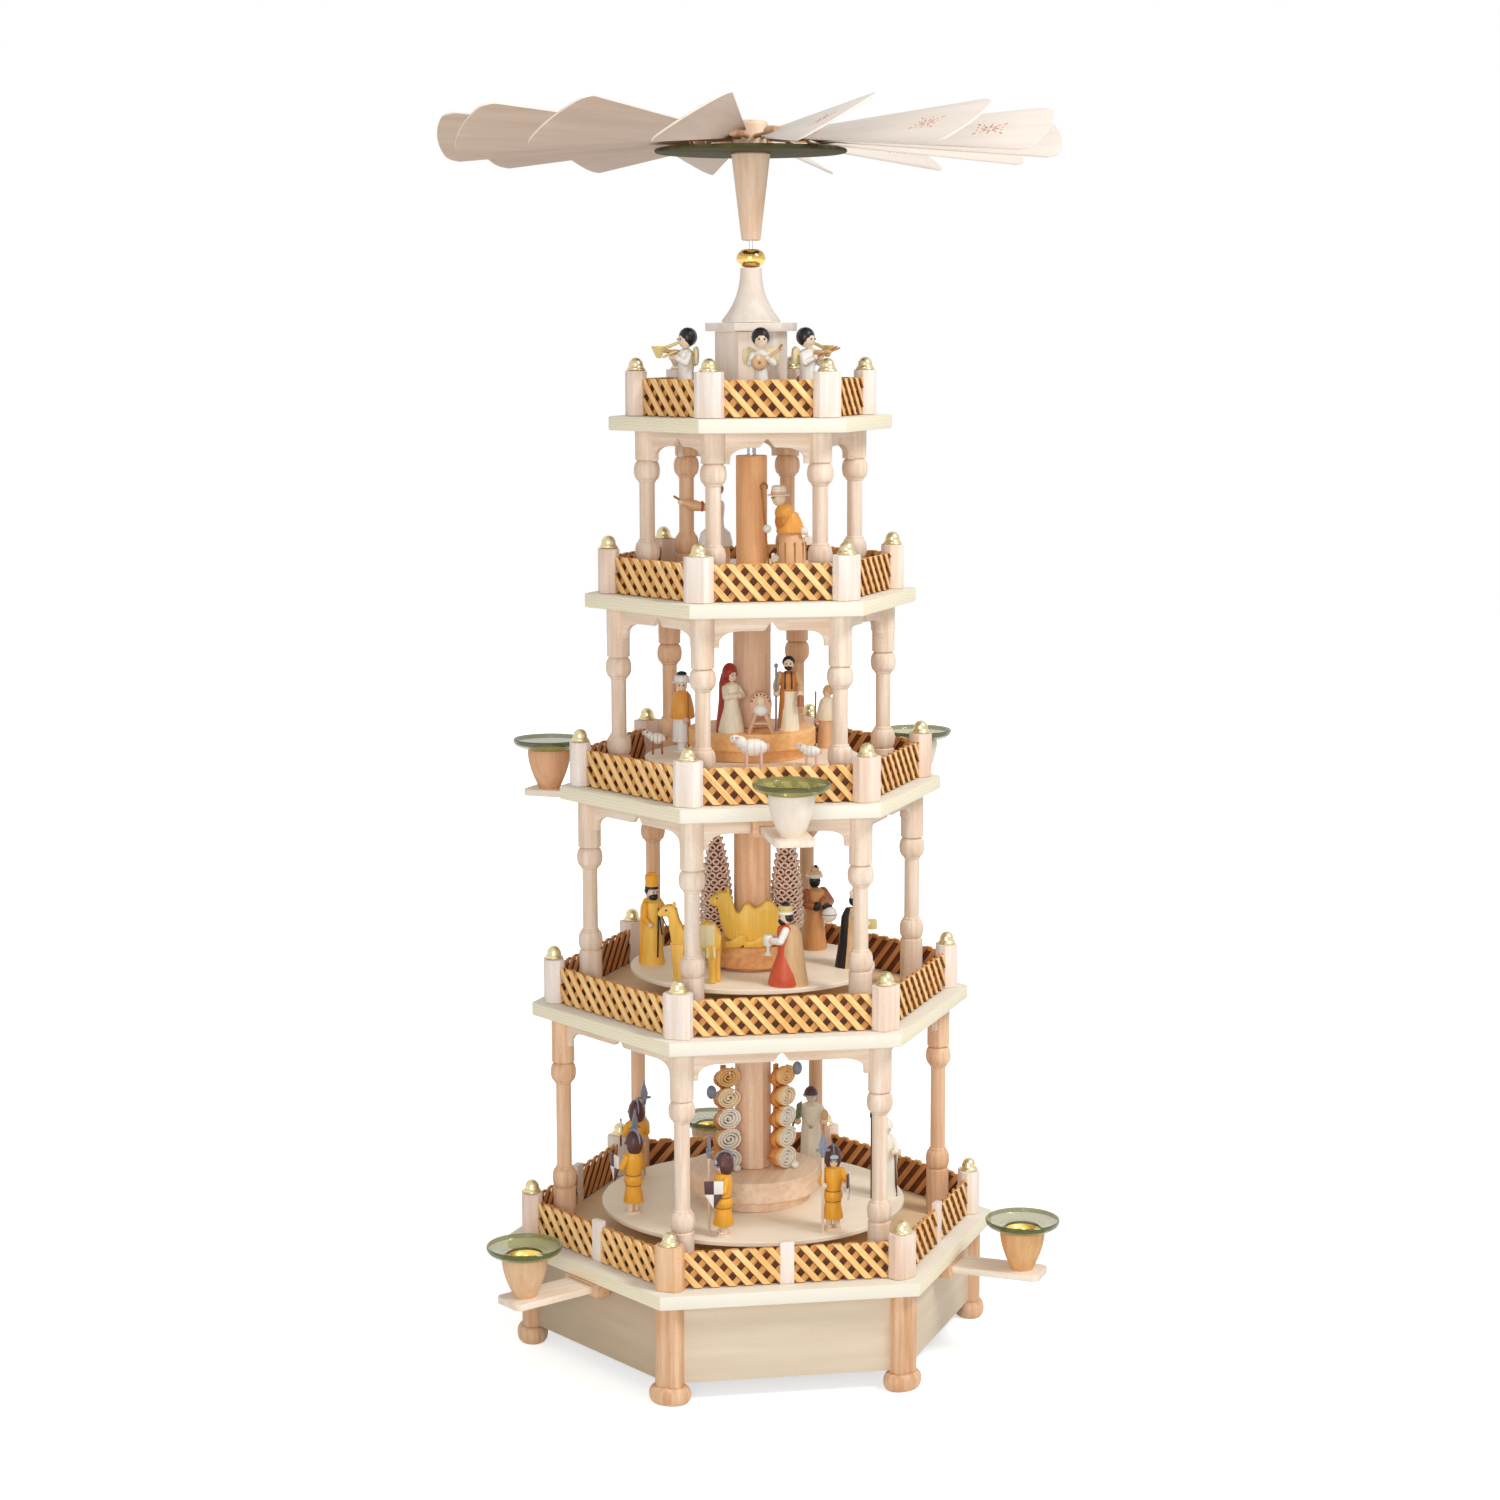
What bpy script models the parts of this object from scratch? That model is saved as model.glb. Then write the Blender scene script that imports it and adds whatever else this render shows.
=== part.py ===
"""Candle carousel: five hexagonal wooden decks on turned columns, six candle arms, and a wheel of
paddles in the rising warm air, which turns a shaft with four discs of figures."""

from math import atan2, cos, pi, radians, sin, sqrt

import bmesh
import bpy
from mathutils import Matrix

# Driving dimensions, in metres. The origin is on the shaft's axis at floor level.
SIDES = 6
GAP = 0.0003
SINK = 0.0006
OVERRUN = 0.002
WELD = 0.000002
SHARP_ANGLE = radians(38)

# Decks, from the lowest up, and the open height between one deck and the next.
DECK_RADII = (0.220, 0.196, 0.1695, 0.146, 0.124)
DECK_THICKNESS = 0.012
DECK_EDGE_CHAMFER = 0.0015
DECK_HOLE_RADIUS = 0.006
STOREY_HEIGHTS = (0.1978, 0.1789, 0.1549, 0.1393)

# Base: posts on bun feet, with a skirt of boards between them.
BASE_HEIGHT = 0.0855
BASE_POST_INSET = 0.021
BASE_POST_WIDTH = 0.0235
BASE_POST_DEPTH = 0.017
BASE_POST_CHAMFER = 0.004
FOOT_HEIGHT = 0.015
FOOT_WIDTH = 0.0365
FOOT_DEPTH = 0.027
FOOT_CROWN = 0.004
SKIRT_THICKNESS = 0.006
SKIRT_LIFT = 0.017

# Columns and the aprons between them, storey by storey where the size changes.
COLUMN_INSETS = (0.027, 0.0258, 0.029, 0.033)
TOP_BLOCK_HEIGHTS = (0.043, 0.043, 0.044, 0.026)
FOOT_BLOCK_HEIGHTS = (0.042, 0.045, 0.026, 0.027)
BLOCK_RADIUS = 0.010
UPPER_BALL_RADIUS = 0.01125
LOWER_BALL_RADIUS = 0.01025
BALL_HEIGHT = 0.0165
COLUMN_GROOVE = 0.0012
COLUMN_SHAFT_RADIUS = 0.0066
APRON_THICKNESS = 0.0045
APRON_END_DROP = 0.026
APRON_CUSP_DROP = 0.0215
APRON_DROP = 0.0125
APRON_NOTCH_DROP = 0.0054
APRON_NOTCH_HALF_WIDTH = 0.0075
APRON_CUSP_WIDTH = 0.004
APRON_SWEEP = 0.018
APRON_OGEE_BULGE = 0.0006

# Fences: posts with brass caps, and panels of thin slats.
FENCE_INSETS = (0.022, 0.020, 0.0185, 0.0213, 0.0242)
FENCE_POST_HEIGHT = 0.038
FENCE_POST_WIDTH = 0.024
FENCE_POST_DEPTH = 0.017
FENCE_POST_CHAMFER = 0.0043
CAP_COLLAR_RADIUS = 0.008
CAP_COLLAR_HEIGHT = 0.0025
CAP_DOME_RADIUS = 0.0058
CAP_HEIGHT = 0.011
LATTICE_HEIGHT = 0.030
LATTICE_THICKNESS = 0.004
MID_POST_WIDTH = 0.012
MID_POST_HEIGHT = 0.036
MID_POST_DEPTH = 0.006

# Shaft, its bearing, and the sleeves that carry the discs.
SHAFT_RADIUS = 0.004
PIN_RADIUS = 0.0015
RUNNING_CLEARANCE = 0.0005
BEARING_RADIUS = 0.020
BEARING_HEIGHT = 0.020
BEARING_BORE_DEPTH = 0.015
DISC_RADII = (0.135, 0.108, 0.094, 0.075)
DISC_THICKNESS = 0.004
DISC_LIFTS = (0.0242, 0.0272, 0.0222, 0.0219)
STAGE_RADII = (0.0586, 0.042, 0.0555)
STAGE_THICKNESSES = (0.0189, 0.0187, 0.0156)
STAGE_LIFTS = (0.0095, 0.003, 0.010)
STAGE_NECK_RADII = (0.050, 0.034, 0.047)
SLEEVE_RADII = (0.0165, 0.0163, 0.0165, 0.0135)
SLEEVE_HEADROOM = (0.012, 0.012, 0.012, 0.0224)

# Tower on the top deck, up to the wheel's hub.
TOWER_RADIUS = 0.0316
TOWER_HEIGHT = 0.0713
TOWER_CAP_RADIUS = 0.0401
TOWER_CAP_THICKNESS = 0.0073
TOWER_BORE_RADIUS = 0.0055
SPIRE_FOOT_RADIUS = 0.0248
SPIRE_TOP_RADIUS = 0.0092
SPIRE_HEIGHT = 0.0465
SPIRE_LIP = 0.0025
BALL_RADIUS = 0.0125
BALL_SEAT_DROP = 0.0034
HUB_LIFT = 0.0067
HUB_FOOT_RADIUS = 0.00775
HUB_CONE_HEIGHT = 0.0731
HUB_SHOULDER_RADIUS = 0.0166
HUB_HEAD_RADIUS = 0.0152
HUB_HEAD_HEIGHT = 0.0275
HUB_CROWN = 0.003
HUB_BORE_DEPTH = 0.030
PLATE_RADIUS = 0.082
PLATE_THICKNESS = 0.0035

# Paddles: blade, holder and stick, with the blade's outline along its own radius.
PADDLE_COUNT = 14
PADDLE_FIRST_BEARING = -109.9
PADDLE_PITCH = 30
PADDLE_RISE = 0.0136
BLADE_TIP_RADIUS = 0.2655
BLADE_ROOT_RADIUS = 0.055
BLADE_ROOT_WIDTH = 0.014
BLADE_TIP_WIDTH = 0.073
BLADE_THICKNESS = 0.002
BLADE_CORNER = 0.014
HOLDER_START = 0.056
HOLDER_END = 0.085
HOLDER_RADIUS = 0.00575
STICK_RADIUS = 0.002
STICK_HOLE_RADIUS = 0.0023
STICK_DEPTH = 0.0044

# Candle arms: a board in a loop under a deck, with a cup, a brass socket and a glass drip dish.
LOW_ARM_BEARINGS = (-150, -30, 90)
HIGH_ARM_BEARINGS = (-90, 30, 150)
LOW_CUP_DISTANCE = 0.249
HIGH_CUP_DISTANCE = 0.195
BOARD_WIDTH = 0.034
BOARD_THICKNESS = 0.006
BOARD_OVERHANG = 0.019
BOARD_CORNER = 0.004
LOW_BOARD_DROP = 0.0025
HIGH_BOARD_DROP = 0.0047
BOARD_START_GAP = 0.0010
LOOP_OFFSET = 0.0018
LOOP_DEPTH = 0.014
LOOP_WALL = 0.0057
LOOP_STRAP = 0.003
CUP_HEIGHT = 0.035
CUP_RIM_RADIUS = 0.0195
CUP_BELLY_RADIUS = 0.0185
CUP_FOOT_RADIUS = 0.011
SOCKET_RADIUS = 0.0145
SOCKET_LIP = 0.0005
CANDLE_HOLE_RADIUS = 0.011
CANDLE_HOLE_DEPTH = 0.020
DISH_RADIUS = 0.032
DISH_HOLE_RADIUS = 0.012
DISH_FLAT_RADIUS = 0.020
DISH_RISE = 0.007
DISH_THICKNESS = 0.002

# Figures and what stands with them.
FIGURE_WIDTH = 0.0165
SOLDIER_HEIGHT = 0.076
ROBED_HEIGHT = 0.072
KING_WIDTH = 0.028
DRIVER_HEIGHT = 0.082
HOLY_HEIGHT = 0.064
HOLY_WIDTH = 0.023
HERDER_HEIGHT = 0.066
HERDER_WIDTH = 0.022
ANGEL_HEIGHT = 0.076
ANGEL_WIDTH = 0.0165
ANGEL_CIRCLE_RADIUS = 0.063
SPEAR_HEIGHT = 0.094
SPEAR_OFFSET = 0.0135
SPEAR_RADIUS = 0.0013
SPEARHEAD_LENGTH = 0.020
SPEARHEAD_RADIUS = 0.003
SHIELD_WIDTH = 0.013
SHIELD_HEIGHT = 0.030
SHIELD_LIFT = 0.026
SHIELD_THICKNESS = 0.002
SCROLL_TREE_HEIGHT = 0.105
SCROLL_TREE_WIDTH = 0.024
SCROLL_TREE_THICKNESS = 0.012
RING_TREE_HEIGHT = 0.098
RING_TREE_RADIUS = 0.013
CAMEL_LENGTH = 0.052
CAMEL_HEIGHT = 0.068
CAMEL_THICKNESS = 0.011
RESTING_CAMEL_LENGTH = 0.066
RESTING_CAMEL_HEIGHT = 0.049
SHEEP_LENGTH = 0.028
SHEEP_HEIGHT = 0.024
SHEEP_THICKNESS = 0.010
MANGER_WIDTH = 0.018
MANGER_HEIGHT = 0.035
MANGER_DEPTH = 0.012
WING_WIDTH = 0.034
WING_HEIGHT = 0.022
WING_THICKNESS = 0.0022
WING_LIFT = 0.036

# Numbers of sides of the round pieces.
COLUMN_FACETS = 8
FIGURE_FACETS = 7
FINE_FACETS = 6
ROUND_FACETS = 12
STAGE_FACETS = 16
DISC_FACETS = 24
CORNER_STEPS = 2

# Profiles of the turned figures, from crown to foot, as shares of half the width and of the height.
SOLDIER_SHARES = ((0, 1), (0.8, 0.95), (1, 0.87), (0.7, 0.81), (0.45, 0.77), (0.85, 0.72), (0.8, 0.45),
                  (1, 0.18), (0.55, 0.16), (0.6, 0), (0, 0))
ROBED_SHARES = ((0, 1), (0.6, 0.96), (0.75, 0.87), (0.4, 0.78), (0.85, 0.71), (0.8, 0.45), (1, 0), (0, 0))
CLOAKED_SHARES = ((0, 1), (0.38, 0.96), (0.45, 0.87), (0.25, 0.79), (0.5, 0.72), (0.6, 0.45), (1, 0), (0, 0))
HERDER_SHARES = ((0, 1), (0.4, 0.97), (0.75, 0.88), (0.45, 0.80), (0.6, 0.74), (1, 0.45), (0.75, 0.42),
                 (0.7, 0), (0, 0))
RING_TREE_SHARES = ((0, 1), (0.35, 0.93), (0.6, 0.72), (0.85, 0.45), (1, 0.2), (0.8, 0.06), (0.3, 0.05),
                    (0.3, 0), (0, 0))

# Outlines of the cut pieces, as shares of half the length and of the height.
SCROLL_TREE_SHARES = ((-0.45, 0), (0.45, 0), (0.6, 0.12), (0.85, 0.25), (0.6, 0.38), (1, 0.5), (0.55, 0.62),
                      (0.85, 0.73), (0.45, 0.85), (0.5, 0.95), (0, 1), (-0.4, 0.9), (-0.5, 0.5))
CAMEL_SHARES = ((1, 0), (1, 0.45), (0.85, 0.72), (0.5, 0.88), (0.2, 0.72), (-0.15, 0.7), (-0.35, 0.82),
                (-0.45, 1), (-0.9, 0.97), (-0.95, 0.85), (-0.65, 0.8), (-0.55, 0.5), (-0.45, 0.45), (-0.5, 0),
                (-0.25, 0), (-0.2, 0.4), (0.65, 0.4), (0.7, 0))
RESTING_CAMEL_SHARES = ((0.95, 0), (1, 0.45), (0.92, 0.72), (0.7, 0.84), (0.5, 0.72), (0.25, 0.82), (0, 0.55),
                        (-0.2, 0.92), (-0.45, 1), (-0.95, 0.85), (-0.9, 0.72), (-0.5, 0.65), (-0.45, 0.25),
                        (-0.2, 0))
SHEEP_SHARES = ((0.7, 0), (0.75, 0.4), (1, 0.6), (0.8, 0.85), (-0.35, 0.85), (-0.6, 1), (-1, 0.8), (-0.75, 0.6),
                (-0.45, 0.4), (-0.4, 0))
SHIELD_SHARES = ((-1, 1), (1, 1), (0.9, 0.5), (0, 0), (-0.9, 0.5))
WING_SHARES = ((0, 0.45), (-0.6, 0), (-0.95, 0.3), (-1, 0.8), (-0.6, 1), (0, 0.8), (0.6, 1), (1, 0.8),
               (0.95, 0.3), (0.6, 0))
MANGER_SHARES = ((-0.8, 0), (-0.45, 0), (0, 0.25), (0.45, 0), (0.8, 0), (0.55, 0.35), (1, 0.6), (0.9, 0.9),
                 (0, 1), (-0.9, 0.9), (-1, 0.6), (-0.55, 0.35))

# Where the figures stand: bearing in degrees, and distance as a share of the disc's or stage's radius.
SOLDIER_PLACE_SHARES = ((-164.2, 0.86), (-111.8, 0.88), (-64.1, 0.88), (143.9, 0.88))
ELDER_PLACE_SHARE = (54.2, 0.90)
CLOAK_PLACE_SHARE = (-10.2, 0.88)
SCROLL_TREE_PLACE_SHARES = ((-170.7, 0.52), (-29.5, 0.52))
DRIVER_PLACE_SHARE = (171.4, 0.82)
CAMEL_PLACE_SHARE = (-134, 0.86)
KING_PLACE_SHARES = ((-81.1, 0.86), (13.6, 0.72), (-19.6, 0.80))
RESTING_CAMEL_PLACE_SHARE = (-112, 0.72)
RING_TREE_PLACE_SHARES = ((170.6, 0.70), (20, 0.68))
HOLY_PLACE_SHARES = ((-125.3, 0.74), (-47.0, 0.72))
MANGER_PLACE_SHARE = (-89.6, 0.78)
SHEEP_PLACE_SHARES = ((-99.6, 0.80), (-31.8, 0.80))
HERDER_PLACE_SHARES = ((149.9, 0.76), (29.6, 0.80))
HATTED_PLACE_SHARE = (-26.5, 0.56)
HORN_PLAYER_PLACE_SHARE = (129.3, 0.72)
LAMB_PLACE_SHARE = (-75, 0.55)
ANGEL_BEARINGS = (-155, -92, -45, 20, 88, 150)

# Finishes: colour, roughness and metallic value.
PALE_WOOD = ((0.91, 0.85, 0.72), 0.55, 0)
BEECH = ((0.76, 0.56, 0.40), 0.5, 0)
HONEY_WOOD = ((0.82, 0.52, 0.22), 0.5, 0)
PLYWOOD = ((0.80, 0.70, 0.55), 0.6, 0)
STEEL = ((0.62, 0.62, 0.63), 0.25, 1)
BRASS = ((0.80, 0.66, 0.35), 0.25, 1)
OLIVE_WOOD = ((0.10, 0.09, 0.05), 0.5, 0)
GREEN_GLASS = ((0.42, 0.47, 0.33), 0.1, 0)

# Levels and circles that follow from the sizes above.
SIDE_SHARE = cos(pi / SIDES)
DECK_TOPS = [BASE_HEIGHT + DECK_THICKNESS]
for storey_height in STOREY_HEIGHTS:
    DECK_TOPS.append(DECK_TOPS[-1] + storey_height + DECK_THICKNESS)
COLUMN_CIRCLES = [radius - inset for radius, inset in zip(DECK_RADII[1:], COLUMN_INSETS)]
FENCE_CIRCLES = [radius - inset for radius, inset in zip(DECK_RADII, FENCE_INSETS)]
BASE_CIRCLE = DECK_RADII[0] - BASE_POST_INSET
DISC_TOPS = [top + lift for top, lift in zip(DECK_TOPS, DISC_LIFTS)]
STAGE_TOPS = [sum(levels) for levels in zip(DISC_TOPS, STAGE_LIFTS, STAGE_THICKNESSES)]
SHAFT_BORE_RADIUS = SHAFT_RADIUS + GAP
PIN_BORE_RADIUS = PIN_RADIUS + RUNNING_CLEARANCE
TOWER_TOP = DECK_TOPS[-1] + TOWER_HEIGHT
TOWER_CAP_TOP = TOWER_TOP + TOWER_CAP_THICKNESS
SPIRE_TOP = TOWER_CAP_TOP + SPIRE_HEIGHT
BALL_CENTRE_Z = SPIRE_TOP + GAP + BALL_SEAT_DROP
HUB_FOOT_Z = BALL_CENTRE_Z + BALL_RADIUS + HUB_LIFT
HUB_SHOULDER_Z = HUB_FOOT_Z + HUB_CONE_HEIGHT
HUB_TOP = HUB_SHOULDER_Z + HUB_HEAD_HEIGHT
PADDLE_Z = HUB_SHOULDER_Z + PADDLE_RISE
PIN_TOP = HUB_FOOT_Z + HUB_BORE_DEPTH - GAP
SHAFT_TOP = TOWER_TOP - GAP - SINK
LOW_SIDE_DISTANCE = BASE_CIRCLE * SIDE_SHARE + SKIRT_THICKNESS / 2
HIGH_SIDE_DISTANCE = COLUMN_CIRCLES[1] * SIDE_SHARE + APRON_THICKNESS / 2

# Turns an outline drawn in width and height upright, so that its thickness points outwards.
UPRIGHT = Matrix(((0, 0, 1, 0), (1, 0, 0, 0), (0, 1, 0, 0), (0, 0, 0, 1)))
# Lays a profile turned about the vertical down along the outward direction.
ALONG_RADIUS = Matrix(((0, 0, 1, 0), (0, 1, 0, 0), (-1, 0, 0, 0), (0, 0, 0, 1)))


def bearing_frame(bearing, distance=0.0, height=0.0):
    """A frame with X pointing outwards along a bearing, at a distance from the axis and a height."""
    return Matrix.Rotation(radians(bearing), 4, "Z") @ Matrix.Translation((distance, 0, height))


def corner_bearings():
    return [360 / SIDES * number for number in range(SIDES)]


def side_bearings():
    return [360 / SIDES * (number + 0.5) for number in range(SIDES)]


def polygon(radius, count, turn=0.0):
    angles = [turn + 2 * pi * number / count for number in range(count)]
    return [(radius * cos(angle), radius * sin(angle)) for angle in angles]


def chamfered_rectangle(depth, width, chamfer):
    """Corners of a rectangle with its corners cut, anticlockwise."""
    x, y = depth / 2, width / 2
    corners = []
    for sign_x, sign_y in ((1, -1), (1, 1), (-1, 1), (-1, -1)):
        pair = [(sign_x * (x - chamfer), sign_y * y), (sign_x * x, sign_y * (y - chamfer))]
        corners += pair if sign_x * sign_y < 0 else pair[::-1]
    return corners


def rectangle(depth, width):
    x, y = depth / 2, width / 2
    return [(x, -y), (x, y), (-x, y), (-x, -y)]


def scaled(shares, half_width, height):
    return [(share_x * half_width, share_z * height) for share_x, share_z in shares]


def solid(mesh_in_making, place):
    """A helper object from a closed bmesh, its points moved to their place."""
    bmesh.ops.transform(mesh_in_making, matrix=place, verts=mesh_in_making.verts)
    bmesh.ops.recalc_face_normals(mesh_in_making, faces=mesh_in_making.faces)
    mesh = bpy.data.meshes.new("solid")
    mesh_in_making.to_mesh(mesh)
    mesh_in_making.free()
    helper = bpy.data.objects.new("solid", mesh)
    bpy.context.scene.collection.objects.link(helper)
    return helper


def turned(profile, facets, place=Matrix(), closed=False, turn=0.0):
    """A turned piece from points of radius and height; a closed profile makes a ring."""
    shape = bmesh.new()
    points = [shape.verts.new((radius * cos(turn), radius * sin(turn), z)) for radius, z in profile]
    pairs = list(zip(points, points[1:]))
    if closed:
        pairs.append((points[-1], points[0]))
    edges = [shape.edges.new(pair) for pair in pairs]
    bmesh.ops.spin(shape, geom=points + edges, cent=(0, 0, 0), axis=(0, 0, 1), angle=2 * pi, steps=facets)
    bmesh.ops.remove_doubles(shape, verts=shape.verts, dist=WELD)
    return solid(shape, place)


def rod(radius, low, high, facets, place=Matrix(), turn=0.0):
    return turned(((0, high), (radius, high), (radius, low), (0, low)), facets, place, turn=turn)


def prism(outline, low, high, place=Matrix(), top_chamfer=0.0):
    """An outline in X and Y, extruded from one height to another."""
    shape = bmesh.new()
    bottom = shape.faces.new([shape.verts.new((x, y, low)) for x, y in outline])
    extruded = bmesh.ops.extrude_face_region(shape, geom=[bottom])["geom"]
    raised = [item for item in extruded if isinstance(item, bmesh.types.BMVert)]
    bmesh.ops.translate(shape, vec=(0, 0, high - low), verts=raised)
    if top_chamfer:
        rim = [edge for edge in shape.edges if all(point in raised for point in edge.verts)]
        bmesh.ops.bevel(shape, geom=rim, offset=top_chamfer, segments=1, affect="EDGES")
    return solid(shape, place)


def upright_plate(outline, thickness, place=Matrix()):
    """A plate that faces outwards, from an outline in width and height."""
    return prism(outline, -thickness / 2, thickness / 2, place @ UPRIGHT)


def finish_material(name, finish):
    colour, roughness, metallic = finish
    material = bpy.data.materials.new(name)
    material.use_nodes = True
    shader = material.node_tree.nodes["Principled BSDF"]
    shader.inputs["Base Color"].default_value = (*colour, 1)
    shader.inputs["Roughness"].default_value = roughness
    shader.inputs["Metallic"].default_value = metallic
    return material


def combined(body, others, operation):
    """Gives the body one Boolean with all the others, and returns the collection that holds them."""
    group = bpy.data.collections.new(operation.lower())
    for other in others:
        group.objects.link(other)
    step = body.modifiers.new(operation.lower(), "BOOLEAN")
    step.operation = operation
    step.operand_type = "COLLECTION"
    step.collection = group
    return group


def glued_mesh(solids, cutters=()):
    """One closed mesh: the solids glued together, less the cutters."""
    body = solids[0]
    groups = []
    if solids[1:]:
        groups.append(combined(body, solids[1:], "UNION"))
    if cutters:
        groups.append(combined(body, cutters, "DIFFERENCE"))
    evaluated = body.evaluated_get(bpy.context.evaluated_depsgraph_get())
    mesh = bpy.data.meshes.new_from_object(evaluated)
    for helper in [*solids, *cutters]:
        bpy.data.objects.remove(helper)
    for group in groups:
        bpy.data.collections.remove(group)
    mesh.shade_smooth()
    mesh.set_sharp_from_angle(angle=SHARP_ANGLE)
    return mesh


def node(name, finish, mesh, place=Matrix()):
    """A finished piece of the carousel, with its own material."""
    piece = bpy.data.objects.new(name, mesh)
    bpy.context.scene.collection.objects.link(piece)
    piece.matrix_world = place
    if not mesh.materials:
        mesh.materials.append(None)
    piece.material_slots[0].link = "OBJECT"
    piece.material_slots[0].material = finish_material(name, finish)
    return piece


def make_base():
    """Posts on bun feet, joined by the boards of the skirt."""
    solids = []
    post_outline = chamfered_rectangle(BASE_POST_DEPTH, BASE_POST_WIDTH, BASE_POST_CHAMFER)
    foot_profile = ((0, FOOT_HEIGHT + SINK), (FOOT_WIDTH / 2 - FOOT_CROWN, FOOT_HEIGHT + SINK),
                    (FOOT_WIDTH / 2, FOOT_HEIGHT - FOOT_CROWN), (FOOT_WIDTH / 2, FOOT_CROWN),
                    (FOOT_WIDTH / 2 - FOOT_CROWN, 0), (0, 0))
    oval = Matrix.Diagonal((FOOT_DEPTH / FOOT_WIDTH, 1, 1, 1))
    for bearing in corner_bearings():
        place = bearing_frame(bearing, BASE_CIRCLE)
        solids.append(prism(post_outline, FOOT_HEIGHT, BASE_HEIGHT - GAP, place))
        solids.append(turned(foot_profile, COLUMN_FACETS, place @ oval, turn=pi / COLUMN_FACETS))
    skirt_outline = rectangle(SKIRT_THICKNESS, BASE_CIRCLE)
    for bearing in side_bearings():
        place = bearing_frame(bearing, BASE_CIRCLE * SIDE_SHARE)
        solids.append(prism(skirt_outline, SKIRT_LIFT, BASE_HEIGHT - GAP - SINK, place))
    node("base_frame", BEECH, glued_mesh(solids))


def arm_loop(bearing, side_distance, board_drop, underside):
    """The wooden loop under a deck that a candle arm slides in, and the slot through it."""
    slot_floor = underside - board_drop - BOARD_THICKNESS - GAP
    loop_width = BOARD_WIDTH + 2 * (GAP + LOOP_WALL)
    start = side_distance + LOOP_OFFSET
    place = bearing_frame(bearing, start + LOOP_DEPTH / 2)
    outline = rectangle(LOOP_DEPTH, loop_width)
    slot = rectangle(LOOP_DEPTH + 2 * OVERRUN, BOARD_WIDTH + 2 * GAP)
    loop = prism(outline, slot_floor - LOOP_STRAP, underside + SINK, place)
    return loop, prism(slot, slot_floor, underside - board_drop + GAP, place)


def make_deck(level, extras=()):
    """A hexagonal board with a hole for the shaft, and loops for candle arms under two of the decks."""
    top = DECK_TOPS[level]
    underside = top - DECK_THICKNESS
    solids = [prism(polygon(DECK_RADII[level], SIDES), underside, top, top_chamfer=DECK_EDGE_CHAMFER), *extras]
    cutters = [rod(DECK_HOLE_RADIUS, underside - OVERRUN, top + OVERRUN, ROUND_FACETS)]
    loops = {0: (LOW_ARM_BEARINGS, LOW_SIDE_DISTANCE, LOW_BOARD_DROP),
             2: (HIGH_ARM_BEARINGS, HIGH_SIDE_DISTANCE, HIGH_BOARD_DROP)}
    if level in loops:
        bearings, side_distance, board_drop = loops[level]
        for bearing in bearings:
            loop, slot = arm_loop(bearing, side_distance, board_drop, underside)
            solids.append(loop)
            cutters.append(slot)
    node(f"deck_{level + 1}", PALE_WOOD, glued_mesh(solids, cutters))


def column_profile(level):
    """Block, ball, shaft, ball and block, from the top down."""
    height = STOREY_HEIGHTS[level] - 2 * GAP
    foot_block = FOOT_BLOCK_HEIGHTS[level]
    top_block = height - TOP_BLOCK_HEIGHTS[level]
    groove_radius = COLUMN_SHAFT_RADIUS + COLUMN_GROOVE
    shoulder = BALL_HEIGHT / 4
    return [(0, height), (BLOCK_RADIUS, height), (BLOCK_RADIUS, top_block + COLUMN_GROOVE),
            (groove_radius, top_block),
            (UPPER_BALL_RADIUS, top_block - shoulder), (UPPER_BALL_RADIUS, top_block - BALL_HEIGHT + shoulder),
            (COLUMN_SHAFT_RADIUS, top_block - BALL_HEIGHT), (COLUMN_SHAFT_RADIUS, foot_block + BALL_HEIGHT),
            (LOWER_BALL_RADIUS, foot_block + BALL_HEIGHT - shoulder),
            (LOWER_BALL_RADIUS, foot_block + shoulder), (groove_radius, foot_block),
            (BLOCK_RADIUS, foot_block - COLUMN_GROOVE), (BLOCK_RADIUS, 0), (0, 0)]


def apron_outline(length):
    """Half outlines mirrored: a cusp at each column, a swept arch, and an ogee notch in the middle."""
    half = length / 2
    cusp = half - BLOCK_RADIUS - APRON_CUSP_WIDTH
    drops = [(half, APRON_END_DROP), (cusp, APRON_END_DROP), (cusp, APRON_CUSP_DROP)]
    sweep_depth = APRON_CUSP_DROP - APRON_DROP
    for step in range(1, CORNER_STEPS + 1):
        angle = pi / 2 * step / CORNER_STEPS
        drops.append((cusp - APRON_SWEEP * (1 - cos(angle)), APRON_CUSP_DROP - sweep_depth * sin(angle)))
    drops.append((APRON_NOTCH_HALF_WIDTH, APRON_DROP))
    drops.append((APRON_NOTCH_HALF_WIDTH / 2, (APRON_DROP + APRON_NOTCH_DROP) / 2 + APRON_OGEE_BULGE))
    left = [(-width, -drop) for width, drop in drops]
    right = [(width, -drop) for width, drop in reversed(drops)]
    return [(-half, 0), *left, (0, -APRON_NOTCH_DROP), *right, (half, 0)]


def make_arcade(level):
    """Six turned columns with the sawn aprons between their heads."""
    floor = DECK_TOPS[level] + GAP
    circle = COLUMN_CIRCLES[level]
    ceiling = floor + STOREY_HEIGHTS[level] - 2 * GAP
    profile = column_profile(level)
    columns = [turned(profile, COLUMN_FACETS, bearing_frame(bearing, circle, floor))
               for bearing in corner_bearings()]
    aprons = [upright_plate(apron_outline(circle), APRON_THICKNESS,
                            bearing_frame(bearing, circle * SIDE_SHARE, ceiling - SINK))
              for bearing in side_bearings()]
    node(f"arcade_{level + 1}", BEECH, glued_mesh([*columns, *aprons]))


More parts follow.
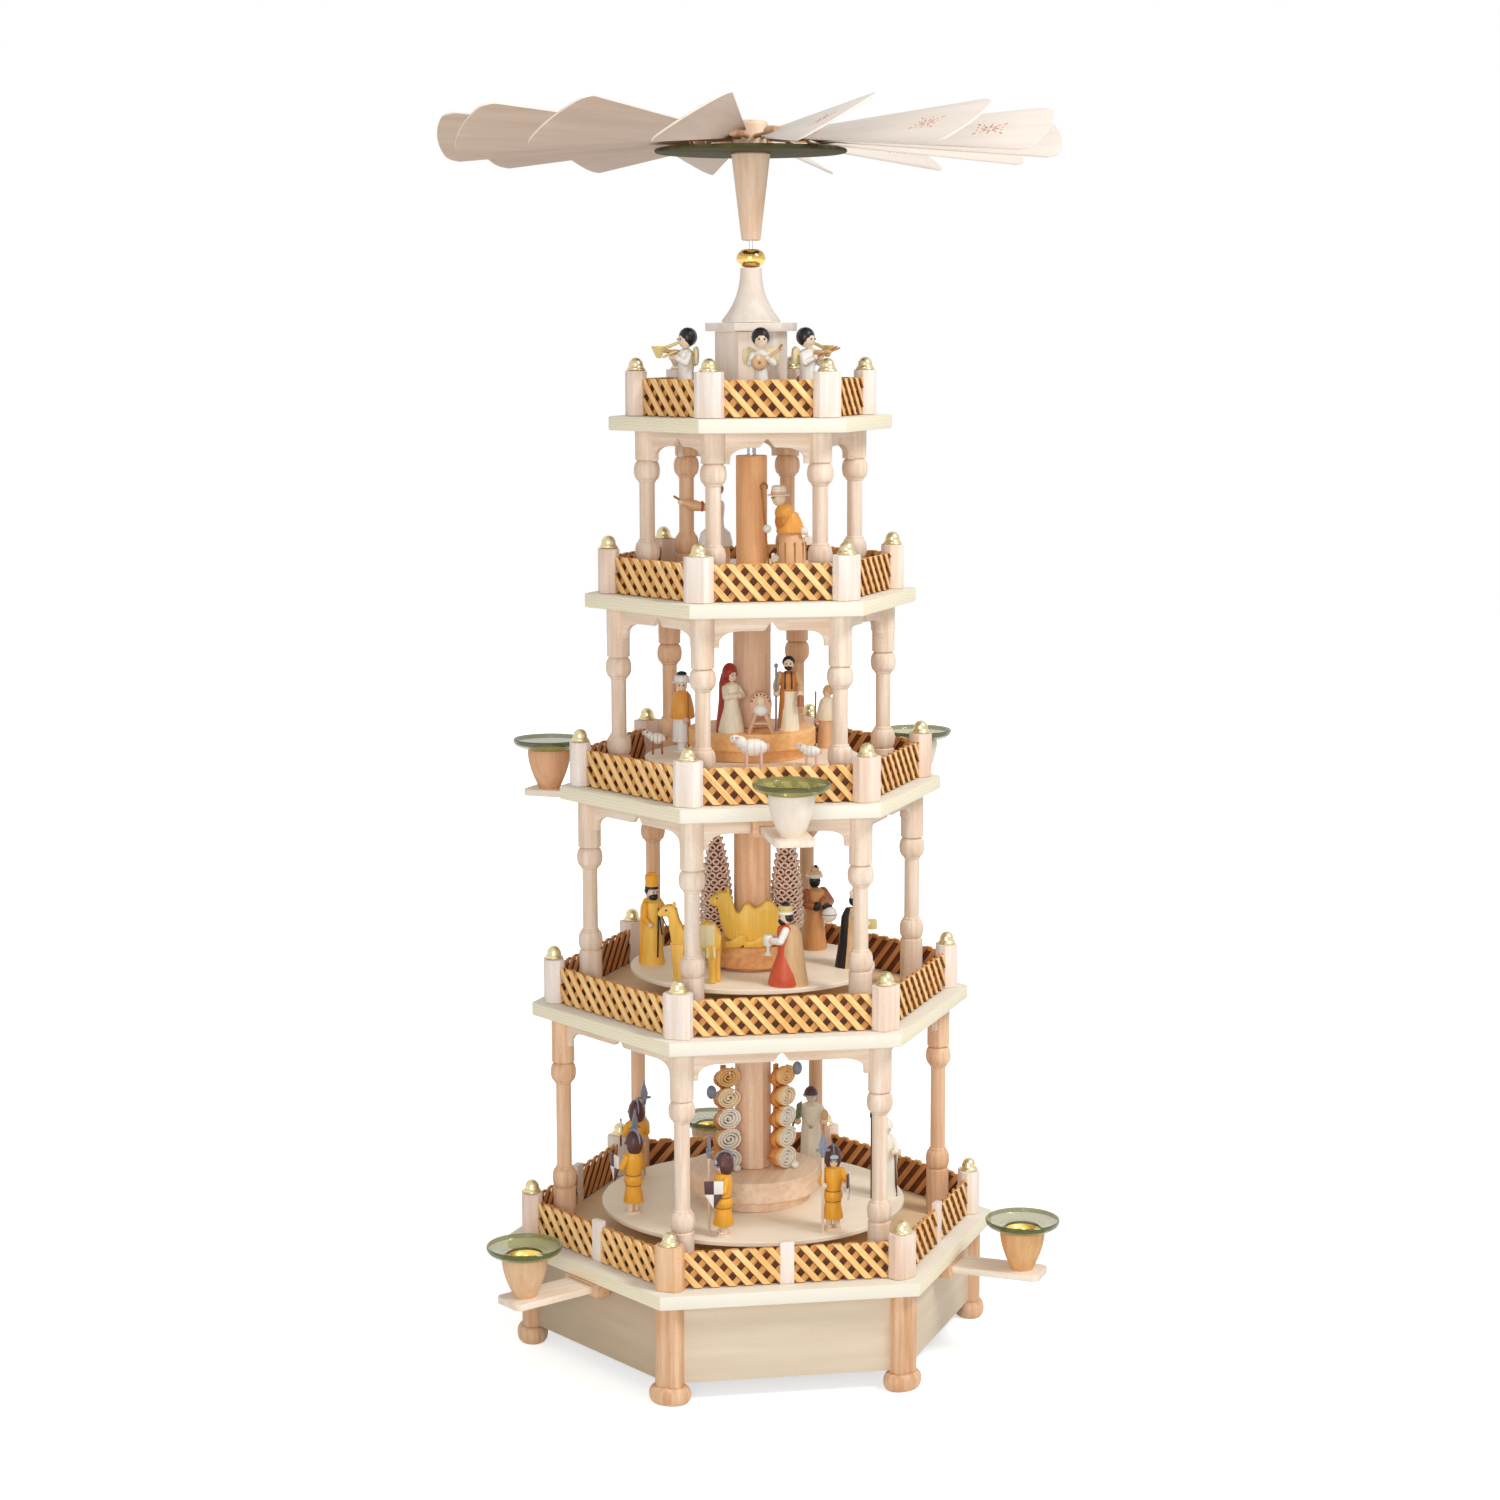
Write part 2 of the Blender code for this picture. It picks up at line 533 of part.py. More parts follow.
def make_fence(level):
    """Posts with brass caps at the corners, and lattice panels between them."""
    floor = DECK_TOPS[level] + GAP
    circle = FENCE_CIRCLES[level]
    post = chamfered_rectangle(FENCE_POST_DEPTH, FENCE_POST_WIDTH, FENCE_POST_CHAMFER)
    cap_profile = ((0, CAP_HEIGHT), (CAP_DOME_RADIUS, (CAP_HEIGHT + CAP_COLLAR_HEIGHT) / 2),
                   (CAP_COLLAR_RADIUS, CAP_COLLAR_HEIGHT), (CAP_COLLAR_RADIUS, -SINK), (0, -SINK))
    solids = []
    for bearing in corner_bearings():
        place = bearing_frame(bearing, circle, floor)
        solids.append(prism(post, 0, FENCE_POST_HEIGHT, place))
        solids.append(turned(cap_profile, FINE_FACETS, place @ Matrix.Translation((0, 0, FENCE_POST_HEIGHT))))
    panel = rectangle(LATTICE_THICKNESS, circle)
    mid_post = rectangle(MID_POST_DEPTH, MID_POST_WIDTH)
    for bearing in side_bearings():
        place = bearing_frame(bearing, circle * SIDE_SHARE, floor)
        solids.append(prism(panel, SINK, LATTICE_HEIGHT, place))
        if level == 0:
            solids.append(prism(mid_post, 0, MID_POST_HEIGHT, place))
    node(f"fence_{level + 1}", HONEY_WOOD, glued_mesh(solids))


def standing(profile_shares, width, height, place):
    """A turned figure on its place, glued into what it stands on."""
    profile = [(share * width / 2, z_share * height) for share, z_share in profile_shares]
    return turned(profile, FIGURE_FACETS, place @ Matrix.Translation((0, 0, -SINK)))


def cut_out(outline_shares, length, height, thickness, place):
    """A flat cut-out figure that stands facing outwards."""
    outline = scaled(outline_shares, length / 2, height)
    return upright_plate(outline, thickness, place @ Matrix.Translation((0, 0, -SINK)))


def place_on(disc_radius, height, place_share):
    bearing, distance_share = place_share
    return bearing_frame(bearing, disc_radius * distance_share, height)


def soldier(place):
    """A guard with a spear at one hand and a shield on the other arm."""
    spear_profile = ((0, SPEAR_HEIGHT), (SPEARHEAD_RADIUS, SPEAR_HEIGHT - SPEARHEAD_LENGTH / 2),
                     (SPEAR_RADIUS, SPEAR_HEIGHT - SPEARHEAD_LENGTH), (SPEAR_RADIUS, 0), (0, 0))
    spear_place = place @ Matrix.Translation((0, -SPEAR_OFFSET, -SINK))
    shield_place = place @ Matrix.Translation((0, FIGURE_WIDTH / 2, SHIELD_LIFT))
    shield = scaled(SHIELD_SHARES, SHIELD_WIDTH / 2, SHIELD_HEIGHT)
    return [standing(SOLDIER_SHARES, FIGURE_WIDTH, SOLDIER_HEIGHT, place),
            turned(spear_profile, FINE_FACETS, spear_place),
            upright_plate(shield, SHIELD_THICKNESS, shield_place)]


def first_disc_figures(radius, height):
    figures = []
    for place_share in SOLDIER_PLACE_SHARES:
        figures += soldier(place_on(radius, height, place_share))
    for place_share in (ELDER_PLACE_SHARE, CLOAK_PLACE_SHARE):
        place = place_on(radius, height, place_share)
        figures.append(standing(ROBED_SHARES, FIGURE_WIDTH, ROBED_HEIGHT, place))
    return figures


def second_disc_figures(radius, height):
    driver_place = place_on(radius, height, DRIVER_PLACE_SHARE)
    camel_place = place_on(radius, height, CAMEL_PLACE_SHARE)
    figures = [standing(ROBED_SHARES, FIGURE_WIDTH, DRIVER_HEIGHT, driver_place),
               cut_out(CAMEL_SHARES, CAMEL_LENGTH, CAMEL_HEIGHT, CAMEL_THICKNESS, camel_place)]
    for place_share in KING_PLACE_SHARES:
        place = place_on(radius, height, place_share)
        figures.append(standing(CLOAKED_SHARES, KING_WIDTH, ROBED_HEIGHT, place))
    return figures


def third_disc_figures(radius, height):
    figures = [standing(HERDER_SHARES, HERDER_WIDTH, HERDER_HEIGHT, place_on(radius, height, place_share))
               for place_share in HERDER_PLACE_SHARES]
    figures += [cut_out(SHEEP_SHARES, SHEEP_LENGTH, SHEEP_HEIGHT, SHEEP_THICKNESS,
                        place_on(radius, height, place_share)) for place_share in SHEEP_PLACE_SHARES]
    return figures


def fourth_disc_figures(radius, height):
    hatted_place = place_on(radius, height, HATTED_PLACE_SHARE)
    player_place = place_on(radius, height, HORN_PLAYER_PLACE_SHARE)
    lamb_place = place_on(radius, height, LAMB_PLACE_SHARE)
    return [standing(HERDER_SHARES, HERDER_WIDTH, HERDER_HEIGHT, hatted_place),
            standing(ROBED_SHARES, FIGURE_WIDTH, HERDER_HEIGHT, player_place),
            cut_out(SHEEP_SHARES, SHEEP_LENGTH, SHEEP_HEIGHT, SHEEP_THICKNESS, lamb_place)]


def first_stage_figures(radius, height):
    return [cut_out(SCROLL_TREE_SHARES, SCROLL_TREE_WIDTH, SCROLL_TREE_HEIGHT, SCROLL_TREE_THICKNESS,
                    place_on(radius, height, place_share)) for place_share in SCROLL_TREE_PLACE_SHARES]


def second_stage_figures(radius, height):
    solids = []
    for place_share in RING_TREE_PLACE_SHARES:
        place = place_on(radius, height, place_share)
        solids.append(standing(RING_TREE_SHARES, 2 * RING_TREE_RADIUS, RING_TREE_HEIGHT, place))
    solids.append(cut_out(RESTING_CAMEL_SHARES, RESTING_CAMEL_LENGTH, RESTING_CAMEL_HEIGHT, CAMEL_THICKNESS,
                          place_on(radius, height, RESTING_CAMEL_PLACE_SHARE)))
    return solids


def third_stage_figures(radius, height):
    parents = [standing(CLOAKED_SHARES, HOLY_WIDTH, HOLY_HEIGHT, place_on(radius, height, place_share))
               for place_share in HOLY_PLACE_SHARES]
    return [*parents, cut_out(MANGER_SHARES, MANGER_WIDTH, MANGER_HEIGHT, MANGER_DEPTH,
                              place_on(radius, height, MANGER_PLACE_SHARE))]


def angels(height):
    """Winged figures that stand round the tower on the top deck."""
    solids = []
    wings = scaled(WING_SHARES, WING_WIDTH / 2, WING_HEIGHT)
    for bearing in ANGEL_BEARINGS:
        place = bearing_frame(bearing, ANGEL_CIRCLE_RADIUS, height)
        back = place @ Matrix.Translation((-ANGEL_WIDTH / 4, 0, WING_LIFT))
        solids.append(standing(ROBED_SHARES, ANGEL_WIDTH, ANGEL_HEIGHT, place))
        solids.append(upright_plate(wings, WING_THICKNESS, back))
    return solids


def make_discs():
    """Plywood discs with their figures, each on the shaft inside its storey."""
    figure_makers = (first_disc_figures, second_disc_figures, third_disc_figures, fourth_disc_figures)
    for level, make_figures in enumerate(figure_makers):
        top = DISC_TOPS[level]
        disc = rod(DISC_RADII[level], top - DISC_THICKNESS, top, DISC_FACETS)
        bore = rod(SHAFT_BORE_RADIUS, top - DISC_THICKNESS - OVERRUN, top + OVERRUN, ROUND_FACETS)
        solids = [disc, *make_figures(DISC_RADII[level], top)]
        node(f"turntable_{level + 1}", PLYWOOD, glued_mesh(solids, [bore]))


def make_stages():
    """Small raised stages that stand on the discs by a narrower neck."""
    figure_makers = (first_stage_figures, second_stage_figures, third_stage_figures)
    for level, make_figures in enumerate(figure_makers):
        floor = DISC_TOPS[level] + GAP
        top = STAGE_TOPS[level]
        underside = top - STAGE_THICKNESSES[level]
        radius = STAGE_RADII[level]
        neck = STAGE_NECK_RADII[level]
        profile = ((0, top), (radius, top), (radius, underside), (neck, underside), (neck, floor), (0, floor))
        bore = rod(SHAFT_BORE_RADIUS, floor - OVERRUN, top + OVERRUN, ROUND_FACETS)
        solids = [turned(profile, STAGE_FACETS), *make_figures(radius, top)]
        node(f"riser_{level + 1}", BEECH, glued_mesh(solids, [bore]))


def make_sleeves():
    """Wooden sleeves on the shaft above each disc or stage."""
    seats = [*STAGE_TOPS, DISC_TOPS[3]]
    for level, seat in enumerate(seats):
        top = DECK_TOPS[level + 1] - DECK_THICKNESS - SLEEVE_HEADROOM[level]
        facets = COLUMN_FACETS if level == 0 else STAGE_FACETS
        body = rod(SLEEVE_RADII[level], seat + GAP, top, facets, turn=pi / COLUMN_FACETS)
        bore = rod(SHAFT_BORE_RADIUS, seat - OVERRUN, top + OVERRUN, ROUND_FACETS)
        node(f"sleeve_{level + 1}", BEECH, glued_mesh([body], [bore]))


def make_shaft():
    """A steel rod on its bearing, reduced to a pin that carries the wheel's hub."""
    bearing_top = BASE_HEIGHT - GAP
    foot = bearing_top - BEARING_BORE_DEPTH + GAP
    profile = ((0, PIN_TOP), (PIN_RADIUS, PIN_TOP), (PIN_RADIUS, SHAFT_TOP), (SHAFT_RADIUS, SHAFT_TOP),
               (SHAFT_RADIUS, foot), (0, foot))
    node("shaft", STEEL, glued_mesh([turned(profile, ROUND_FACETS)]))


def make_bearing():
    """A brass cup under the lowest deck, in which the shaft stands."""
    top = BASE_HEIGHT - GAP
    body = rod(BEARING_RADIUS, top - BEARING_HEIGHT, top, ROUND_FACETS)
    bore = rod(SHAFT_RADIUS + RUNNING_CLEARANCE, top - BEARING_BORE_DEPTH, top + OVERRUN, ROUND_FACETS)
    node("base_bearing", BRASS, glued_mesh([body], [bore]))


def make_tower():
    """Tower, cap, spire and brass ball, one on the other on the top deck, bored for the shaft."""
    tower_floor = DECK_TOPS[-1] + GAP
    tower_bore = rod(TOWER_BORE_RADIUS, tower_floor - OVERRUN, TOWER_TOP + OVERRUN, ROUND_FACETS)
    tower = prism(polygon(TOWER_RADIUS, SIDES), tower_floor, TOWER_TOP)
    node("tower", PALE_WOOD, glued_mesh([tower], [tower_bore]))
    cap_floor = TOWER_TOP + GAP
    cap_bore = rod(PIN_BORE_RADIUS, cap_floor - OVERRUN, TOWER_CAP_TOP + OVERRUN, ROUND_FACETS)
    cap = prism(polygon(TOWER_CAP_RADIUS, SIDES), cap_floor, TOWER_CAP_TOP)
    node("tower_cap", PALE_WOOD, glued_mesh([cap], [cap_bore]))
    spire_floor = TOWER_CAP_TOP + GAP
    spire_profile = [(PIN_BORE_RADIUS, SPIRE_TOP)]
    flare = SPIRE_FOOT_RADIUS - SPIRE_TOP_RADIUS
    rise = SPIRE_HEIGHT - GAP - SPIRE_LIP
    for step in range(2 * CORNER_STEPS + 1):
        share = step / (2 * CORNER_STEPS)
        spire_profile.append((SPIRE_TOP_RADIUS + flare * share ** 2, SPIRE_TOP - rise * share ** 0.9))
    spire_profile += [(SPIRE_FOOT_RADIUS, spire_floor), (PIN_BORE_RADIUS, spire_floor)]
    node("spire", PALE_WOOD, glued_mesh([turned(spire_profile, STAGE_FACETS, closed=True)]))
    seat = SPIRE_TOP + GAP
    seat_angle = atan2(-BALL_SEAT_DROP, sqrt(BALL_RADIUS ** 2 - BALL_SEAT_DROP ** 2))
    crown_angle = atan2(sqrt(BALL_RADIUS ** 2 - PIN_BORE_RADIUS ** 2), PIN_BORE_RADIUS)
    steps = 2 * CORNER_STEPS
    angles = [crown_angle + (seat_angle - crown_angle) * step / steps for step in range(steps + 1)]
    ball_profile = [(BALL_RADIUS * cos(angle), BALL_CENTRE_Z + BALL_RADIUS * sin(angle)) for angle in angles]
    ball_profile.append((PIN_BORE_RADIUS, seat))
    node("bearing_ball", BRASS, glued_mesh([turned(ball_profile, ROUND_FACETS, closed=True)]))


def make_hub():
    """The turned hub on the pin, with blind holes for the paddles' sticks round its head."""
    profile = ((0, HUB_TOP), (HUB_HEAD_RADIUS - HUB_CROWN, HUB_TOP), (HUB_HEAD_RADIUS, HUB_TOP - HUB_CROWN),
               (HUB_HEAD_RADIUS, HUB_SHOULDER_Z), (HUB_SHOULDER_RADIUS, HUB_SHOULDER_Z),
               (HUB_FOOT_RADIUS, HUB_FOOT_Z), (0, HUB_FOOT_Z))
    turn = radians(PADDLE_FIRST_BEARING + 180 / PADDLE_COUNT)
    hub = turned(profile, PADDLE_COUNT, turn=turn)
    cutters = [rod(PIN_RADIUS + GAP, HUB_FOOT_Z - OVERRUN, HUB_FOOT_Z + HUB_BORE_DEPTH, ROUND_FACETS)]
    hole_floor = HUB_HEAD_RADIUS - STICK_DEPTH
    for bearing in paddle_bearings():
        place = bearing_frame(bearing, height=PADDLE_Z) @ ALONG_RADIUS
        cutters.append(rod(STICK_HOLE_RADIUS, hole_floor, HUB_HEAD_RADIUS + OVERRUN, FINE_FACETS, place))
    node("wheel_hub", PALE_WOOD, glued_mesh([hub], cutters))


def make_plate():
    """The dark round plate on the hub's shoulder, under the paddles."""
    floor = HUB_SHOULDER_Z + GAP
    top = floor + PLATE_THICKNESS
    bore = HUB_HEAD_RADIUS + RUNNING_CLEARANCE
    profile = ((bore, top), (PLATE_RADIUS, top), (PLATE_RADIUS, floor), (bore, floor))
    node("heat_plate", OLIVE_WOOD, glued_mesh([turned(profile, DISC_FACETS, closed=True)]))


def paddle_bearings():
    return [PADDLE_FIRST_BEARING - 360 / PADDLE_COUNT * number for number in range(PADDLE_COUNT)]


def blade_outline():
    """Straight flaring edges and a tip with round corners."""
    tip_middle = BLADE_TIP_RADIUS - BLADE_CORNER
    half_tip = BLADE_TIP_WIDTH / 2
    root = (BLADE_ROOT_RADIUS, BLADE_ROOT_WIDTH / 2)
    corner = []
    for step in range(CORNER_STEPS + 1):
        angle = pi / 2 * step / CORNER_STEPS
        corner.append((tip_middle + BLADE_CORNER * sin(angle), half_tip - BLADE_CORNER * (1 - cos(angle))))
    upper = [root, *corner]
    return [*upper, *[(x, -y) for x, y in reversed(upper)]]


def make_paddles():
    """Thin blades in slit holders, each on a stick that can be twisted in the hub."""
    blade = prism(blade_outline(), -BLADE_THICKNESS / 2, BLADE_THICKNESS / 2)
    holder = rod(HOLDER_RADIUS, HOLDER_START, HOLDER_END, COLUMN_FACETS, ALONG_RADIUS)
    stick_start = HUB_HEAD_RADIUS - STICK_DEPTH + GAP
    stick = rod(STICK_RADIUS, stick_start, HOLDER_START + SINK, FINE_FACETS, ALONG_RADIUS)
    mesh = glued_mesh([holder, blade, stick])
    pitch = Matrix.Rotation(radians(PADDLE_PITCH), 4, "X")
    for number, bearing in enumerate(paddle_bearings()):
        place = bearing_frame(bearing, height=PADDLE_Z) @ pitch
        node(f"paddle_{number + 1:02d}", PALE_WOOD, mesh, place)


def arm_mesh(reach):
    """The board, and on it the cup with its brass socket; the origin is under the cup on the board."""
    half_width = BOARD_WIDTH / 2
    tip = BOARD_OVERHANG
    outline = [(-reach, -half_width), (tip - BOARD_CORNER, -half_width), (tip, BOARD_CORNER - half_width),
               (tip, half_width - BOARD_CORNER), (tip - BOARD_CORNER, half_width), (-reach, half_width)]
    hole_floor = CUP_HEIGHT - CANDLE_HOLE_DEPTH
    lip = CUP_HEIGHT + SOCKET_LIP
    cup_profile = ((0, hole_floor), (CANDLE_HOLE_RADIUS, hole_floor), (CANDLE_HOLE_RADIUS, lip),
                   (SOCKET_RADIUS, lip), (SOCKET_RADIUS, CUP_HEIGHT), (CUP_RIM_RADIUS, CUP_HEIGHT),
                   (CUP_BELLY_RADIUS, CUP_HEIGHT * 2 / 3), (CUP_FOOT_RADIUS, -SINK), (0, -SINK))
    return glued_mesh([prism(outline, -BOARD_THICKNESS, 0), turned(cup_profile, ROUND_FACETS)])


def dish_mesh():
    """A shallow glass ring that rests on the socket's lip; the origin is on that lip."""
    profile = ((DISH_HOLE_RADIUS, 0), (DISH_FLAT_RADIUS, 0), (DISH_RADIUS, DISH_RISE),
               (DISH_RADIUS, DISH_RISE + DISH_THICKNESS),
               (DISH_FLAT_RADIUS - DISH_THICKNESS / 2, DISH_THICKNESS), (DISH_HOLE_RADIUS, DISH_THICKNESS))
    return glued_mesh([turned(profile, ROUND_FACETS, closed=True)])


def make_arms():
    """Three arms under the lowest deck and three under the middle one, each with its drip dish."""
    sets = ((LOW_ARM_BEARINGS, LOW_CUP_DISTANCE, LOW_SIDE_DISTANCE, DECK_TOPS[0], LOW_BOARD_DROP),
            (HIGH_ARM_BEARINGS, HIGH_CUP_DISTANCE, HIGH_SIDE_DISTANCE, DECK_TOPS[2], HIGH_BOARD_DROP))
    dish = dish_mesh()
    number = 0
    for bearings, cup_distance, side_distance, deck_top, board_drop in sets:
        arm = arm_mesh(cup_distance - side_distance - BOARD_START_GAP)
        board_top = deck_top - DECK_THICKNESS - board_drop
        lip = board_top + CUP_HEIGHT + SOCKET_LIP
        for bearing in bearings:
            number += 1
            node(f"candle_arm_{number}", BEECH, arm, bearing_frame(bearing, cup_distance, board_top))
            node(f"drip_dish_{number}", GREEN_GLASS, dish, bearing_frame(bearing, cup_distance, lip + GAP))


for leftover in list(bpy.data.objects):
    bpy.data.objects.remove(leftover)

make_base()
make_bearing()
for deck_level in range(len(DECK_RADII) - 1):
    make_deck(deck_level)
    make_arcade(deck_level)
make_deck(len(DECK_RADII) - 1, angels(DECK_TOPS[-1]))
for deck_level in range(len(DECK_RADII)):
    make_fence(deck_level)
make_shaft()
make_discs()
make_stages()
make_sleeves()
make_tower()
make_hub()
make_plate()
make_paddles()
make_arms()
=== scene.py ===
"""Looks of the candle carousel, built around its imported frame.
The sections follow the way it is put together, from the feet up to the wheel, then the arms and figures."""

from math import cos, pi, radians, sin

import bpy
import numpy as np
from mathutils import Matrix, Vector


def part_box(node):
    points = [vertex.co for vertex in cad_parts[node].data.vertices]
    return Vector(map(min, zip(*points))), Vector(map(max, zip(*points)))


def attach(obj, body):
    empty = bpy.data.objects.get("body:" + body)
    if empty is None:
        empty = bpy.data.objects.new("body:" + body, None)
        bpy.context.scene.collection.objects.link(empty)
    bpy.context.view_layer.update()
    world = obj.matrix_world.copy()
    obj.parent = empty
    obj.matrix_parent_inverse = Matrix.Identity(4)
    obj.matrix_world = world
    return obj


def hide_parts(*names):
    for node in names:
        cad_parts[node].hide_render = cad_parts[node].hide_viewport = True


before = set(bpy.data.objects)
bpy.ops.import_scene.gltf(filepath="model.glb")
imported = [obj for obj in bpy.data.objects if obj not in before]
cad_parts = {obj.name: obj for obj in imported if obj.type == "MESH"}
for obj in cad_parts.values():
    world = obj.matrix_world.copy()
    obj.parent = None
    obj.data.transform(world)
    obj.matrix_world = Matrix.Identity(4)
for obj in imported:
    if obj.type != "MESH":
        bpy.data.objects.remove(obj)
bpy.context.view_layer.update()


# Base. Six boards of birch plywood stand between six beech posts, and each post has a turned bun foot.
# Posts and feet are oiled beech; the boards are sanded and left pale, and the two on the left side are
# painted darker as shade.
sides = 6
weld = 0.000002
crease_angle = radians(35)
base_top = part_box("base_frame")[1].z
post_inset, post_edge, board_edge = 0.021, 0.0008, 0.0005
post_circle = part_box("deck_1")[1].x - post_inset
base_post_depth, base_post_width, base_post_chamfer = 0.017, 0.0235, 0.004
foot_height, foot_width, foot_depth, foot_crown = 0.015, 0.0365, 0.027, 0.005
skirt_thickness, skirt_lift = 0.006, 0.017
side_share = cos(pi / sides)
fleck_pattern, cloud_pattern = (420, 2600, 2), (9, 45, 3)
streak_part, cloud_part = 0.6, 0.4
fleck_start, fleck_full, fleck_shade_share = 0.62, 0.72, 0.45
polished_part, worn_part = 0.08, 0.12
grain_relief, grain_depth, wood_gloss = 0.18, 0.0002, 0.35


def srgb(red, green, blue):
    """A colour as the eye names it, from 0 to 255, turned into the linear values of a shader."""
    shares = [level / 255 for level in (red, green, blue)]
    return (*[share / 12.92 if share < 0.04 else ((share + 0.055) / 1.055) ** 2.4 for share in shares], 1)


def drawn_line(points):
    """Starts a piece in edit mode: one vertex, pulled along from point to point."""
    bpy.ops.object.select_all(action="DESELECT")
    bpy.ops.mesh.primitive_plane_add(size=weld, location=points[0])
    bpy.ops.object.mode_set(mode="EDIT")
    bpy.ops.mesh.merge(type="CENTER")
    for start, end in zip(points, points[1:]):
        bpy.ops.mesh.extrude_vertices_move(TRANSFORM_OT_translate={"value": Vector(end) - Vector(start)})
    bpy.ops.mesh.select_all(action="SELECT")


def finished(name, material, edge_radius=0.0, edge_steps=2):
    """Ends edit mode: closes the seams, breaks the sharp edges, and names the piece."""
    bpy.ops.mesh.select_all(action="SELECT")
    bpy.ops.mesh.remove_doubles(threshold=weld)
    bpy.ops.mesh.normals_make_consistent(inside=False)
    bpy.ops.object.mode_set(mode="OBJECT")
    bpy.ops.object.transform_apply(location=True, rotation=True, scale=True)
    piece = bpy.context.active_object
    piece.name = name
    piece.data.name = name
    if edge_radius:
        bevel = piece.modifiers.new("edge", "BEVEL")
        bevel.width = edge_radius
        bevel.segments = edge_steps
        bevel.limit_method = "ANGLE"
        bpy.ops.object.modifier_apply(modifier=bevel.name)
    bpy.ops.object.shade_smooth_by_angle(angle=crease_angle)
    piece.data.materials.append(material)
    return piece


def turned(name, profile, facets, material):
    """A piece turned about Z, from its profile of radius and height."""
    drawn_line([(radius, 0, height) for radius, height in profile])
    bpy.ops.mesh.spin(steps=facets, angle=2 * pi, center=(0, 0, 0), axis=(0, 0, 1))
    return finished(name, material)


def rounded(middle, half_height, reach, start, end, steps, core=0.0):
    """Profile points on an arc round a middle height, from one angle to another."""
    angles = [radians(start + (end - start) * step / steps) for step in range(steps + 1)]
    return [(core + reach * cos(angle), middle + half_height * sin(angle)) for angle in angles]


def sawn(name, corners, sweep, material, edge_radius=0.0):
    """A piece sawn from a board: its outline, filled and pulled along the sweep."""
    drawn_line(corners)
    bpy.ops.mesh.edge_face_add()
    bpy.ops.mesh.extrude_region_move(TRANSFORM_OT_translate={"value": sweep})
    return finished(name, material, edge_radius)


def upright(name, outline, thickness, material, edge_radius=0.0):
    """A board that faces outwards, from an outline in width and height."""
    corners = [(-thickness / 2, y, z) for y, z in outline]
    return sawn(name, corners, (thickness, 0, 0), material, edge_radius)


def raised(name, outline, low, high, material, edge_radius=0.0):
    """A block of this plan, from one height to another."""
    corners = [(x, y, low) for x, y in outline]
    return sawn(name, corners, (0, 0, high - low), material, edge_radius)


def cut_corners(depth, width, chamfer):
    """Plan of a post with its four corners taken off, anticlockwise."""
    x, y = depth / 2, width / 2
    corners = []
    for sign_x, sign_y in ((1, -1), (1, 1), (-1, 1), (-1, -1)):
        pair = [(sign_x * (x - chamfer), sign_y * y), (sign_x * x, sign_y * (y - chamfer))]
        corners += pair if sign_x * sign_y < 0 else pair[::-1]
    return corners


def rectangle(low_x, high_x, low_y, high_y):
    return [(low_x, low_y), (high_x, low_y), (high_x, high_y), (low_x, high_y)]


def mark_grain(piece, along, shift=0.0):
    """Notes on each point where it lies along and across the grain, for the wood materials."""
    turn = np.array(Vector(along).rotation_difference(Vector((1, 0, 0))).to_matrix())
    places = np.empty(3 * len(piece.data.vertices))
    piece.data.vertices.foreach_get("co", places)
    note = piece.data.attributes.new("grain", "FLOAT_VECTOR", "POINT")
    note.data.foreach_set("vector", (places.reshape(-1, 3) @ turn.T + shift).ravel())
    return piece


def bearing_frame(bearing, distance=0.0, height=0.0):
    """A place with X pointing outwards along a bearing in degrees."""
    return Matrix.Rotation(radians(bearing), 4, "Z") @ Matrix.Translation((distance, 0, height))


def copied(piece, name, place, shift=0.0):
    """A copy with a mesh of its own, moved to its place, its grain shifted so that no two match."""
    copy = bpy.data.objects.new(name, piece.data.copy())
    bpy.context.scene.collection.objects.link(copy)
    copy.data.transform(place)
    note = copy.data.attributes.get("grain")
    if note and shift:
        places = np.empty(3 * len(copy.data.vertices))
        note.data.foreach_get("vector", places)
        note.data.foreach_set("vector", places + shift)
    return copy


def joined(name, pieces):
    """Glues the pieces into one object."""
    bpy.ops.object.select_all(action="DESELECT")
    for piece in pieces:
        piece.select_set(True)
    bpy.context.view_layer.objects.active = pieces[0]
    if len(pieces) > 1:
        bpy.ops.object.join()
    pieces[0].name = name
    pieces[0].data.name = name
    return pieces[0]


def set_round(name, piece, places, shift_step=0.37, woods=()):
    """Copies a piece to each of its places, in another wood where woods are given, and joins the copies."""
    copies = [copied(piece, name, place, shift_step * (number + 1)) for number, place in enumerate(places)]
    for copy, material in zip(copies, woods):
        copy.data.materials[0] = material
    bpy.data.objects.remove(piece)
    return joined(name, copies)


def corner_places(distance, height=0.0):
    return [bearing_frame(360 / sides * number, distance, height) for number in range(sides)]


def side_places(distance, height=0.0):
    return [bearing_frame(360 / sides * (number + 0.5), distance, height) for number in range(sides)]


